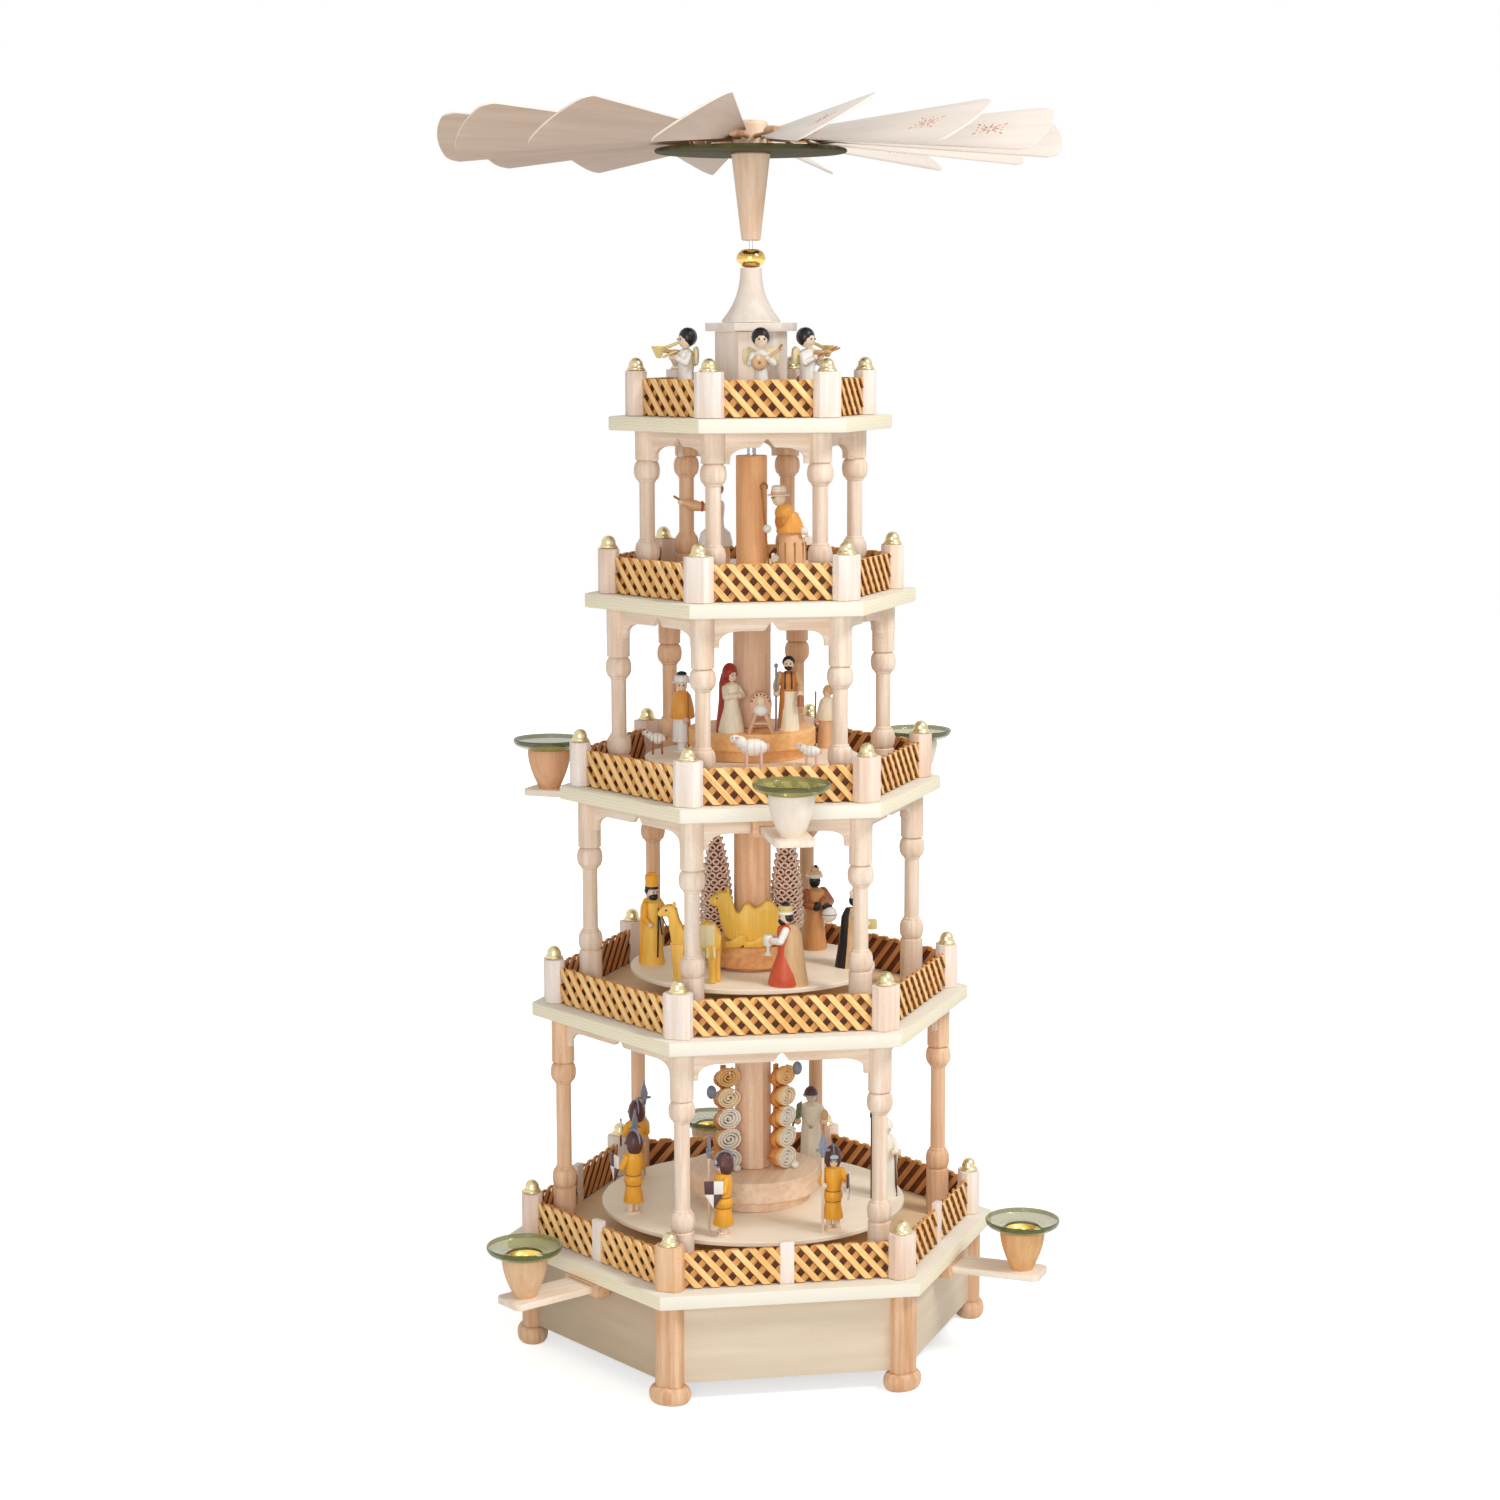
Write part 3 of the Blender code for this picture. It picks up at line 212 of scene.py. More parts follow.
def wood(name, pale, dark, fleck_strength=0.0, roughness=0.5, streak_scale=220, contrast_share=0.5):
    """Planed wood: long soft streaks of two tones, short dark flecks along the grain, a little relief."""
    material = bpy.data.materials.new(name)
    material.use_nodes = True
    nodes, links = material.node_tree.nodes, material.node_tree.links
    shader = nodes["Principled BSDF"]
    grain = nodes.new("ShaderNodeAttribute")
    grain.attribute_name = "grain"
    patterns = []
    for along, across, detail in ((streak_scale / 16, streak_scale, 5), fleck_pattern, cloud_pattern):
        stretch = nodes.new("ShaderNodeMapping")
        stretch.inputs["Scale"].default_value = (along, across, across)
        pattern = nodes.new("ShaderNodeTexNoise")
        pattern.inputs["Scale"].default_value = 1
        pattern.inputs["Detail"].default_value = detail
        links.new(grain.outputs["Vector"], stretch.inputs["Vector"])
        links.new(stretch.outputs["Vector"], pattern.inputs["Vector"])
        patterns.append(pattern)
    streaks, flecks, clouds = patterns
    tone = nodes.new("ShaderNodeMath")
    tone.operation = "MULTIPLY_ADD"
    tone.inputs[1].default_value = streak_part
    links.new(streaks.outputs["Fac"], tone.inputs[0])
    cloud_share = nodes.new("ShaderNodeMath")
    cloud_share.operation = "MULTIPLY"
    cloud_share.inputs[1].default_value = cloud_part
    links.new(clouds.outputs["Fac"], cloud_share.inputs[0])
    links.new(cloud_share.outputs[0], tone.inputs[2])
    tones = nodes.new("ShaderNodeValToRGB")
    tones.color_ramp.elements[0].position = 0.5 - contrast_share / 4
    tones.color_ramp.elements[0].color = dark
    tones.color_ramp.elements[1].position = 0.5 + contrast_share / 4
    tones.color_ramp.elements[1].color = pale
    links.new(tone.outputs[0], tones.inputs["Fac"])
    sparse = nodes.new("ShaderNodeMapRange")
    sparse.inputs["From Min"].default_value = fleck_start
    sparse.inputs["From Max"].default_value = fleck_full
    sparse.inputs["To Max"].default_value = fleck_strength
    links.new(flecks.outputs["Fac"], sparse.inputs["Value"])
    fleck_mix = nodes.new("ShaderNodeMix")
    fleck_mix.data_type = "RGBA"
    fleck_mix.inputs["B"].default_value = [level * fleck_shade_share for level in dark[:3]] + [1]
    links.new(sparse.outputs["Result"], fleck_mix.inputs["Factor"])
    links.new(tones.outputs["Color"], fleck_mix.inputs["A"])
    links.new(fleck_mix.outputs["Result"], shader.inputs["Base Color"])
    dull = nodes.new("ShaderNodeMapRange")
    dull.inputs["To Min"].default_value = roughness - polished_part
    dull.inputs["To Max"].default_value = roughness + worn_part
    links.new(streaks.outputs["Fac"], dull.inputs["Value"])
    links.new(dull.outputs["Result"], shader.inputs["Roughness"])
    relief = nodes.new("ShaderNodeBump")
    relief.inputs["Strength"].default_value = grain_relief
    relief.inputs["Distance"].default_value = grain_depth
    links.new(streaks.outputs["Fac"], relief.inputs["Height"])
    links.new(relief.outputs["Normal"], shader.inputs["Normal"])
    shader.inputs["Specular IOR Level"].default_value = wood_gloss
    return material


beech = wood("beech", srgb(234, 196, 160), srgb(206, 156, 114), fleck_strength=0.5)
birch_plywood = wood("birch_plywood", srgb(228, 213, 190), srgb(208, 188, 160), fleck_strength=0.25,
                     streak_scale=70, contrast_share=0.9)
# Painted shade: the two boards of the left side take this darker plywood.
shaded_left_plywood = wood("shaded_left_plywood", srgb(202, 182, 155), srgb(180, 158, 129), fleck_strength=0.25,
                     streak_scale=70, contrast_share=0.9)
shaded_left_boards = (2, 3)

post_plan = cut_corners(base_post_depth, base_post_width, base_post_chamfer)
post = mark_grain(raised("post", post_plan, foot_height - weld, base_top, beech, post_edge), (0, 0, 1))
posts = set_round("base_posts", post, corner_places(post_circle))

foot_profile = [(0, foot_height), *rounded(foot_height / 2, foot_height / 2, foot_crown, 90, -90, 10,
                                          core=foot_width / 2 - foot_crown), (0, 0)]
foot = mark_grain(turned("foot", foot_profile, 40, beech), (0, 0, 1))
foot.data.transform(Matrix.Diagonal((foot_depth / foot_width, 1, 1, 1)))
feet = set_round("bun_feet", foot, corner_places(post_circle))

half_board = post_circle / 2 - base_post_width / 4
board_outline = rectangle(-half_board, half_board, skirt_lift, base_top)
board = mark_grain(upright("board", board_outline, skirt_thickness, birch_plywood, board_edge),
                   (0, 1, 0))
skirt = set_round("skirt_boards", board, side_places(post_circle * side_share),
                  woods=[shaded_left_plywood if number in shaded_left_boards else birch_plywood
                         for number in range(sides)])

for piece, slot_name in ((posts, "beech"), (feet, "beech"), (skirt, "plywood")):
    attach(piece, "frame")
    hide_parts("base_frame")


# Decks. Five hexagons sawn from glued-up pine boards, with the upper edge just broken; inside the fence the
# top is painted a warmer, darker tone as shade. The shaft passes through a hole in the middle. Under the
# first and the third, three beech loops each take the boards of the candle arms.
deck_count = 5
deck_thickness = 0.012
deck_edge = 0.0012
floor_insets = (0.026, 0.0245, 0.0225, 0.0255, 0.0285)
shaft_hole_radius = 0.006
board_width, board_thickness = 0.034, 0.006
running_gap = 0.0003
low_arm_bearings, high_arm_bearings = (-150, -30, 90), (-90, 30, 150)
low_board_drop, high_board_drop = 0.0025, 0.0047
loop_depth, loop_wall, loop_strap = 0.014, 0.0057, 0.003
low_side_distance = post_circle * side_share + skirt_thickness / 2
second_arcade_circle, half_apron = 0.1437, 0.00225
high_side_distance = second_arcade_circle * side_share + half_apron
loop_offset = 0.0018


def bored(piece, radius, low, high):
    """Drills a hole along the shaft's line through a piece."""
    bpy.ops.object.select_all(action="DESELECT")
    bpy.ops.mesh.primitive_cylinder_add(vertices=32, radius=radius, depth=high - low,
                                        location=(0, 0, (low + high) / 2))
    drill = bpy.context.active_object
    step = piece.modifiers.new("hole", "BOOLEAN")
    step.operation = "DIFFERENCE"
    step.object = drill
    bpy.context.view_layer.objects.active = piece
    bpy.ops.object.modifier_apply(modifier=step.name)
    bpy.data.objects.remove(drill)
    return piece


def painted_shade_inside(piece, inset, material):
    """Gives the top face a second material, for painted shade, up to a line that runs round it at this
    distance from its edge.
    """
    top = max(range(len(piece.data.polygons)), key=lambda number: piece.data.polygons[number].center.z)
    piece.data.materials.append(material)
    bpy.ops.object.mode_set(mode="EDIT")
    bpy.ops.mesh.select_mode(type="FACE")
    bpy.ops.mesh.select_all(action="DESELECT")
    bpy.ops.object.mode_set(mode="OBJECT")
    piece.data.polygons[top].select = True
    bpy.ops.object.mode_set(mode="EDIT")
    bpy.ops.mesh.inset(thickness=inset)
    piece.active_material_index = 1
    bpy.ops.object.material_slot_assign()
    bpy.ops.mesh.select_mode(type="VERT")
    bpy.ops.object.mode_set(mode="OBJECT")


def pine(name):
    """Pale pine: calm on the long grain, and striped by the growth rings where the end grain shows."""
    material = wood(name, srgb(243, 237, 223), srgb(235, 227, 209), streak_scale=70, contrast_share=0.9)
    nodes, links = material.node_tree.nodes, material.node_tree.links
    shader = nodes["Principled BSDF"]
    long_grain = shader.inputs["Base Color"].links[0].from_socket
    grain = next(node for node in nodes if node.type == "ATTRIBUTE")
    rings = nodes.new("ShaderNodeTexWave")
    rings.bands_direction = "Z"
    rings.inputs["Scale"].default_value = 120
    rings.inputs["Distortion"].default_value = 6
    rings.inputs["Detail Scale"].default_value = 1
    links.new(grain.outputs["Vector"], rings.inputs["Vector"])
    end_tones = nodes.new("ShaderNodeValToRGB")
    end_tones.color_ramp.elements[0].position = 0.2
    end_tones.color_ramp.elements[0].color = srgb(240, 226, 190)
    end_tones.color_ramp.elements[1].position = 0.6
    end_tones.color_ramp.elements[1].color = srgb(245, 236, 208)
    links.new(rings.outputs["Fac"], end_tones.inputs["Fac"])
    facing = nodes.new("ShaderNodeNewGeometry")
    parts = nodes.new("ShaderNodeSeparateXYZ")
    links.new(facing.outputs["True Normal"], parts.inputs["Vector"])
    ends = nodes.new("ShaderNodeMath")
    ends.operation = "ABSOLUTE"
    links.new(parts.outputs["X"], ends.inputs[0])
    mix = nodes.new("ShaderNodeMix")
    mix.data_type = "RGBA"
    links.new(ends.outputs[0], mix.inputs["Factor"])
    links.new(long_grain, mix.inputs["A"])
    links.new(end_tones.outputs["Color"], mix.inputs["B"])
    links.new(mix.outputs["Result"], shader.inputs["Base Color"])
    return material


deck_pine = pine("deck_pine")
# Painted shade: the deck tops inside the fence take this warmer, darker wood.
painted_shade_floor = wood("painted_shade_floor", srgb(248, 220, 180), srgb(236, 200, 156), fleck_strength=0.2, streak_scale=90,
                  contrast_share=0.9)
deck_tops, deck_radii = [], []
for level in range(deck_count):
    low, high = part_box(f"deck_{level + 1}")
    hexagon = [(high.x * cos(pi / 3 * number), high.x * sin(pi / 3 * number)) for number in range(sides)]
    if level == deck_count - 1:
        deck_top = low.z + deck_thickness
    else:
        deck_top = high.z
    deck_tops.append(deck_top)
    deck_radii.append(high.x)
    deck = raised("deck", hexagon, deck_top - deck_thickness, deck_top, deck_pine, deck_edge)
    painted_shade_inside(deck, floor_insets[level] * side_share, painted_shade_floor)
    bored(deck, shaft_hole_radius, deck_top - 2 * deck_thickness, deck_top + deck_thickness)
    pieces = [mark_grain(deck, (1, 0, 0), level)]
    loops = {0: (low_arm_bearings, low_side_distance, low_board_drop),
             2: (high_arm_bearings, high_side_distance, high_board_drop)}
    if level in loops:
        bearings, side_distance, board_drop = loops[level]
        ceiling = -board_drop + running_gap
        floor_level = -board_drop - board_thickness - running_gap
        inner = board_width / 2 + running_gap
        outer = inner + loop_wall
        under = floor_level - loop_strap
        strap = [(-outer, 0), (-outer, under), (outer, under), (outer, 0), (inner, 0), (inner, floor_level),
                 (-inner, floor_level), (-inner, 0)]
        loop = mark_grain(upright("loop", strap, loop_depth, beech, board_edge), (0, 1, 0))
        packing = upright("packing", rectangle(-inner, inner, ceiling, 0), loop_depth, beech)
        loop = joined("loop", [loop, mark_grain(packing, (0, 1, 0))])
        distance = side_distance + loop_offset + loop_depth / 2
        places = [bearing_frame(bearing, distance, deck_top - deck_thickness) for bearing in bearings]
        pieces.append(set_round("loops", loop, places))
    deck = joined(f"deck_board_{level + 1}", pieces)
    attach(deck, "frame")
    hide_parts(f"deck_{level + 1}")


# Arcades. Six turned beech columns stand on each of the four lower decks, and sawn aprons join their heads.
# Every column has a block, a ball, a slim shaft, a ball and a block; every apron has an arch with an ogee
# notch.
column_insets = (0.027, 0.0258, 0.029, 0.033)
top_blocks = (0.043, 0.043, 0.044, 0.026)
foot_blocks = (0.042, 0.045, 0.026, 0.027)
block_radius, column_shaft_radius, column_groove = 0.010, 0.0066, 0.0012
upper_ball_radius, lower_ball_radius, ball_height = 0.01125, 0.0106, 0.0165
neck_radius = column_shaft_radius + column_groove
apron_thickness = 0.0045
apron_end_drop, apron_cusp_drop, apron_drop, apron_notch_drop = 0.026, 0.0215, 0.0125, 0.0054
apron_notch_half, apron_cusp_width, apron_sweep, apron_edge = 0.0075, 0.004, 0.018, 0.0003
ball_end, arch_steps, ogee_steps = 78, 8, 7

pale_beech = wood("pale_beech", srgb(243, 226, 208), srgb(225, 196, 169), fleck_strength=0.5,
                  streak_scale=260)
# Painted shade: the columns towards the back of each arcade take the darker tan beech.
shaded_tan_beech = wood("shaded_tan_beech", srgb(242, 205, 170), srgb(220, 172, 133), fleck_strength=0.5, streak_scale=260)
column_woods = (pale_beech, shaded_tan_beech)
column_shade_tones = (1, 1, 1, 1, 0, 0), (0, 1, 1, 0, 0, 0), (0, 1, 1, 0, 0, 0), (0, 1, 1, 0, 0, 0)


def column_profile(height, top_block, foot_block):
    """From the top down: block, groove, ball, fillet, shaft, and the same again turned over."""
    top = height - top_block
    edge = column_groove / 2
    fillet = column_groove
    return [(0, height), (block_radius - edge, height), (block_radius, height - edge),
            (block_radius, top + column_groove), (neck_radius, top),
            *rounded(top - ball_height / 2, ball_height / 2, upper_ball_radius - neck_radius, ball_end,
                     -ball_end, 10, core=neck_radius),
            (neck_radius, top - ball_height), (neck_radius, top - ball_height - fillet),
            (column_shaft_radius, top - ball_height - 2 * fillet),
            (column_shaft_radius, foot_block + ball_height + 2 * fillet),
            (neck_radius, foot_block + ball_height + fillet), (neck_radius, foot_block + ball_height),
            *rounded(foot_block + ball_height / 2, ball_height / 2, lower_ball_radius - neck_radius,
                     ball_end, -ball_end, 10, core=neck_radius),
            (neck_radius, foot_block), (block_radius, foot_block - column_groove), (block_radius, edge),
            (block_radius - edge, 0), (0, 0)]


def apron_outline(length):
    """A cusp at each column, a swept arch, and an ogee notch in the middle."""
    half = length / 2
    cusp = half - block_radius - apron_cusp_width
    drops = [(half, apron_end_drop), (cusp, apron_end_drop), (cusp, apron_cusp_drop)]
    depth = apron_cusp_drop - apron_drop
    for step in range(1, arch_steps + 1):
        angle = pi / 2 * step / arch_steps
        drops.append((cusp - apron_sweep * (1 - cos(angle)), apron_cusp_drop - depth * sin(angle)))
    for step in range(ogee_steps):
        share = step / ogee_steps
        ease = share * share * (3 - 2 * share)
        drops.append((apron_notch_half * (1 - share), apron_drop - (apron_drop - apron_notch_drop) * ease))
    left = [(-width, -drop) for width, drop in drops]
    right = [(width, -drop) for width, drop in reversed(drops)]
    return [(-half, 0), *left, (0, -apron_notch_drop), *right, (half, 0)]


for level in range(deck_count - 1):
    low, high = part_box(f"arcade_{level + 1}")
    circle = deck_radii[level + 1] - column_insets[level]
    profile = column_profile(high.z - low.z, top_blocks[level], foot_blocks[level])
    column = mark_grain(turned("column", profile, 32, pale_beech), (0, 0, 1), level)
    columns = set_round(f"columns_{level + 1}", column, corner_places(circle, low.z),
                        woods=[column_woods[tone] for tone in column_shade_tones[level]])
    apron = mark_grain(upright("apron", apron_outline(circle), apron_thickness, pale_beech, apron_edge),
                       (0, 1, 0), level)
    aprons = set_round(f"aprons_{level + 1}", apron, side_places(circle * side_share, high.z))
    for piece in (columns, aprons):
        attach(piece, "frame")
        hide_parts(f"arcade_{level + 1}")


# Fences. A post with a spun brass cap stands at each corner of each deck. Between the posts are lattices of
# two crossed layers of stained slats, glued to a thin dark web with a thinner layer of slats on its inner
# side.
# The inner crossed layer, the thin inner layer and the web are painted darker as shade, and the slats'
# downward faces darker still as shade. The lowest deck's lattices have a flat middle post as well.
fence_insets = (0.022, 0.020, 0.0185, 0.0213, 0.0242)
fence_post_height, fence_post_depth, fence_post_width, fence_post_chamfer = 0.038, 0.017, 0.024, 0.0043
cap_collar_radius, cap_collar_height, cap_dome_radius, cap_height = 0.0083, 0.0016, 0.0062, 0.0112
cap_dome_foot, cap_flare = 0.0046, ((0.0065, 0.0034), (0.0075, 0.0022))
slat_width, slat_thickness, slat_pitch = 0.0057, 0.002, 0.0145
slat_angle, lattice_height = radians(48.5), 0.0315
web_thickness, back_slat_thickness, web_drop = 0.0006, 0.001, 0.0035
slat_chamfer, post_cover, under_share, edge_share = 0.0007, 0.012, -0.15, 0.5
mid_post_width, mid_post_height, mid_post_depth = 0.012, 0.036, 0.006
fence_post_edge = 0.0006

post_tones = ((0, 1, 0, 1, 2, 1), (0, 1, 0, 0, 0, 1), (1, 0, 1, 0, 0, 1), (1, 0, 1, 1, 0, 0),
              (0, 1, 0, 1, 0, 0))

post_woods = (wood("white_beech", srgb(250, 241, 233), srgb(238, 219, 204), fleck_strength=0.4,
                   streak_scale=180),
              wood("rosy_post", srgb(247, 229, 213), srgb(230, 199, 176), fleck_strength=0.45,
                   streak_scale=180),
              wood("red_post", srgb(240, 201, 161), srgb(218, 165, 120), fleck_strength=0.6,
                   streak_scale=180))
outer_slat_wood = wood("outer_slat", srgb(255, 220, 156), srgb(242, 184, 108), fleck_strength=0.5,
                       streak_scale=420)
# Painted shade: the inner layer, the back layer and the web are darker than the front slats as shade.
inner_layer_shade_wood = wood("inner_layer_shade", srgb(236, 182, 110), srgb(202, 136, 70), fleck_strength=0.5,
                       streak_scale=420)
slat_underside_shade_wood = wood("slat_underside_shade", srgb(176, 108, 52), srgb(132, 76, 34), streak_scale=420)
back_layer_shade_wood = wood("back_layer_shade", srgb(230, 168, 108), srgb(192, 126, 70), fleck_strength=0.5,
                      streak_scale=420)
web_painted_shade = wood("web_painted_shade", srgb(116, 64, 32), srgb(84, 44, 20), streak_scale=160)


def metal(name, colour, roughness):
    """Polished metal with fine rubbing marks."""
    material = bpy.data.materials.new(name)
    material.use_nodes = True
    nodes, links = material.node_tree.nodes, material.node_tree.links
    shader = nodes["Principled BSDF"]
    shader.inputs["Base Color"].default_value = colour
    shader.inputs["Metallic"].default_value = 1
    place = nodes.new("ShaderNodeTexCoord")
    rubbing = nodes.new("ShaderNodeTexNoise")
    rubbing.inputs["Scale"].default_value = 900
    rubbing.inputs["Detail"].default_value = 4
    links.new(place.outputs["Object"], rubbing.inputs["Vector"])
    dull = nodes.new("ShaderNodeMapRange")
    dull.inputs["To Min"].default_value = roughness * 0.5
    dull.inputs["To Max"].default_value = roughness * 1.5
    links.new(rubbing.outputs["Fac"], dull.inputs["Value"])
    links.new(dull.outputs["Result"], shader.inputs["Roughness"])
    return material


brass = metal("brass", srgb(218, 203, 160), 0.3)


def slat_layer(half_length, lean, offset, thickness, material):
    """One layer of parallel slats, repeated and cut off square at both ends, with the downward faces painted
    darker as shade.
    """
    run = lean * lattice_height / np.tan(slat_angle)
    half_cut = slat_width / sin(slat_angle) / 2
    start = -half_length - lattice_height
    outline = [(start - half_cut, 0), (start + half_cut, 0), (start + run + half_cut, lattice_height),
               (start + run - half_cut, lattice_height)]
    layer = upright("slats", outline, thickness, material, slat_chamfer * thickness / slat_thickness)
    layer.data.transform(Matrix.Translation((offset, 0, 0)))
    row = layer.modifiers.new("row", "ARRAY")
    row.count = int((2 * half_length + 2 * lattice_height) / slat_pitch) + 2
    row.use_relative_offset = False
    row.use_constant_offset = True
    row.constant_offset_displace = (0, slat_pitch, 0)
    bpy.ops.object.modifier_apply(modifier=row.name)
    bpy.ops.object.mode_set(mode="EDIT")
    for end in (-1, 1):
        bpy.ops.mesh.select_all(action="SELECT")
        bpy.ops.mesh.bisect(plane_co=(0, end * half_length, 0), plane_no=(0, end, 0), use_fill=True,
                            clear_outer=True)
    bpy.ops.object.mode_set(mode="OBJECT")
    layer.data.materials.append(slat_underside_shade_wood)
    # Painted shade: faces that point downwards take the darker underside material.
    for face in layer.data.polygons:
        if face.normal.z < under_share:
            face.material_index = 1
    return mark_grain(layer, (0, lean * cos(slat_angle), sin(slat_angle)))


for level in range(deck_count):
    low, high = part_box(f"fence_{level + 1}")
    circle = deck_radii[level] - fence_insets[level]
    plan = cut_corners(fence_post_depth, fence_post_width, fence_post_chamfer)
    pattern = mark_grain(raised("post", plan, 0, fence_post_height, post_woods[0], fence_post_edge),
                         (0, 0, 1), level + 0.5)
    posts = set_round(f"fence_posts_{level + 1}", pattern, corner_places(circle, low.z),
                      woods=[post_woods[tone] for tone in post_tones[level]])
    collar_half = cap_collar_height / 2
    cap_profile = [*rounded(cap_dome_foot, cap_height - cap_dome_foot, cap_dome_radius, 90, 0, 8), *cap_flare,
                   *rounded(collar_half, collar_half, collar_half, 90, -90, 4,
                            core=cap_collar_radius - collar_half), (0, 0)]
    cap = turned("cap", cap_profile, 28, brass)
    caps = set_round(f"brass_caps_{level + 1}", cap, corner_places(circle, low.z + fence_post_height))
    half_length = circle / 2 - post_cover
    front = slat_thickness + (web_thickness + back_slat_thickness) / 2
    outer = slat_layer(half_length, -1, front - slat_thickness / 2, slat_thickness, outer_slat_wood)
    inner = slat_layer(half_length, 1, front - 1.5 * slat_thickness, slat_thickness, inner_layer_shade_wood)
    web_outline = rectangle(-half_length, half_length, 0, lattice_height - web_drop)
    web = mark_grain(upright("web", web_outline, web_thickness, web_painted_shade), (0, 1, 0))
    web.data.transform(Matrix.Translation((front - 2 * slat_thickness - web_thickness / 2, 0, 0)))
    back = slat_layer(half_length, -1, back_slat_thickness / 2 - front, back_slat_thickness, back_layer_shade_wood)
    panel = joined("panel", [outer, inner, web, back])
    lattice = set_round(f"lattice_{level + 1}", panel, side_places(circle * side_share, low.z))
    pieces = [(posts, "beech"), (caps, "brass"), (lattice, "honey_wood")]
    if level == 0:
        half = mid_post_width / 2
        mid_post = upright("mid_post", rectangle(-half, half, 0, mid_post_height), mid_post_depth,
                           post_woods[0], board_edge)
        mark_grain(mid_post, (0, 0, 1))
        pieces.append((set_round("middle_posts", mid_post, side_places(circle * side_share, low.z)), "beech"))
    for piece, slot_name in pieces:
        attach(piece, "frame")
        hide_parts(f"fence_{level + 1}")


# Tower. A hollow hexagonal block on the top deck, with a flat cap, a turned spire, and a brass ball through
# which the pin of the shaft passes. All but the ball are pale beech.
tower_radius, tower_cap_radius, tower_edge = 0.0316, 0.0401, 0.0007
tower_bore, pin_bore = 0.0055, 0.002
spire_foot_radius, spire_top_radius, spire_lip = 0.0248, 0.0092, 0.0022
spire_lip_swell, spire_lip_inset, spire_steps = 0.0008, 0.0004, 16
brass_ball_radius, ball_flat_radius = 0.0125, 0.0035

tower_wood = wood("tower_wood", srgb(255, 247, 238), srgb(245, 226, 209), fleck_strength=0.4,
                  streak_scale=140)
blocks = (("tower", tower_radius, tower_bore, "tower_block"),
          ("tower_cap", tower_cap_radius, pin_bore, "tower_top"))
for node_name, radius, bore, name in blocks:
    low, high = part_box(node_name)
    hexagon = [(radius * cos(pi / 3 * number), radius * sin(pi / 3 * number)) for number in range(sides)]
    block = raised(name, hexagon, low.z, high.z, tower_wood, tower_edge)
    bored(block, bore, low.z - bore, high.z + bore)
    mark_grain(block, (0, 0, 1) if node_name == "tower" else (1, 0, 0))
    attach(block, "frame")
    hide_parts(node_name)

low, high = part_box("spire")
rise = high.z - low.z - spire_lip
flare = spire_foot_radius - spire_top_radius
profile = [(pin_bore, high.z)]
for step in range(spire_steps + 1):
    share = step / spire_steps
    profile.append((spire_top_radius + flare * share ** 2.1, high.z - rise * share ** 0.9))
profile += [*rounded(low.z + spire_lip / 2, spire_lip / 2, spire_lip_swell, 90, -90, 4,
                     core=spire_foot_radius - spire_lip_inset), (pin_bore, low.z), (pin_bore, high.z)]
spire = mark_grain(turned("turned_spire", profile, 48, tower_wood), (0, 0, 1), 1.7)
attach(spire, "frame")
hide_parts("spire")

low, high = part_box("bearing_ball")
middle, half = (low.z + high.z) / 2, (high.z - low.z) / 2
ball_brass = metal("ball_brass", srgb(226, 188, 112), 0.16)
swell = brass_ball_radius - ball_flat_radius
profile = [(pin_bore, low.z), *rounded(middle, half, swell, -90, 90, 20, core=ball_flat_radius),
           (pin_bore, high.z), (pin_bore, low.z)]
ball = turned("brass_ball", profile, 40, ball_brass)
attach(ball, "frame")
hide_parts("bearing_ball")


# Shaft, bearing, discs, stages and sleeves. The steel shaft stands in a brass cup under the lowest deck. On
# it sit plywood discs, thicker turned stages of beech on three of them, and a sleeve of darker beech above
# each.
disc_radii, disc_thickness = (0.135, 0.108, 0.094, 0.075), 0.004
stage_radii, stage_neck_radii = (0.0586, 0.042, 0.0555), (0.050, 0.034, 0.047)
stage_thicknesses, stage_lifts, stage_edge = (0.0189, 0.0187, 0.0156), (0.0095, 0.003, 0.010), 0.0015
sleeve_radii = (0.0165, 0.0163, 0.0165, 0.0135)
shaft_bore = 0.0043
disc_edge, sleeve_edge = 0.0006, 0.0006

steel = metal("steel", srgb(196, 198, 202), 0.3)
for node_name, material in (("shaft", steel), ("base_bearing", brass)):
    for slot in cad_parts[node_name].material_slots:
        slot.material = material

disc_wood = wood("disc_wood", srgb(253, 243, 225), srgb(247, 230, 204), fleck_strength=0.2, streak_scale=60,
                 contrast_share=0.9)
stage_woods = (wood("pink_beech", srgb(252, 227, 200), srgb(240, 202, 170), fleck_strength=0.7),
               wood("brown_beech", srgb(238, 180, 120), srgb(214, 147, 92), fleck_strength=0.5),
               wood("orange_beech", srgb(250, 199, 138), srgb(236, 172, 106), fleck_strength=0.5))
sleeve_woods = (wood("rose_beech", srgb(253, 225, 197), srgb(236, 196, 163), fleck_strength=0.7),
                wood("warm_beech", srgb(250, 210, 171), srgb(231, 177, 131), fleck_strength=0.6),
                wood("dull_beech", srgb(246, 210, 181), srgb(226, 181, 147), fleck_strength=0.6),
                wood("amber_beech", srgb(252, 201, 148), srgb(238, 171, 114), fleck_strength=0.5))

disc_tops, stage_tops = [], []
for level, radius in enumerate(disc_radii):
    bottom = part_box(f"turntable_{level + 1}")[0].z
    top = bottom + disc_thickness
    disc_tops.append(top)
    profile = [(shaft_bore, top), (radius - disc_edge, top), (radius, top - disc_edge),
               (radius, bottom + disc_edge), (radius - disc_edge, bottom), (shaft_bore, bottom),
               (shaft_bore, top)]
    disc = mark_grain(turned(f"disc_{level + 1}", profile, 96, disc_wood), (1, 0.3, 0), level)
    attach(disc, "rotor")
    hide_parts(f"turntable_{level + 1}")

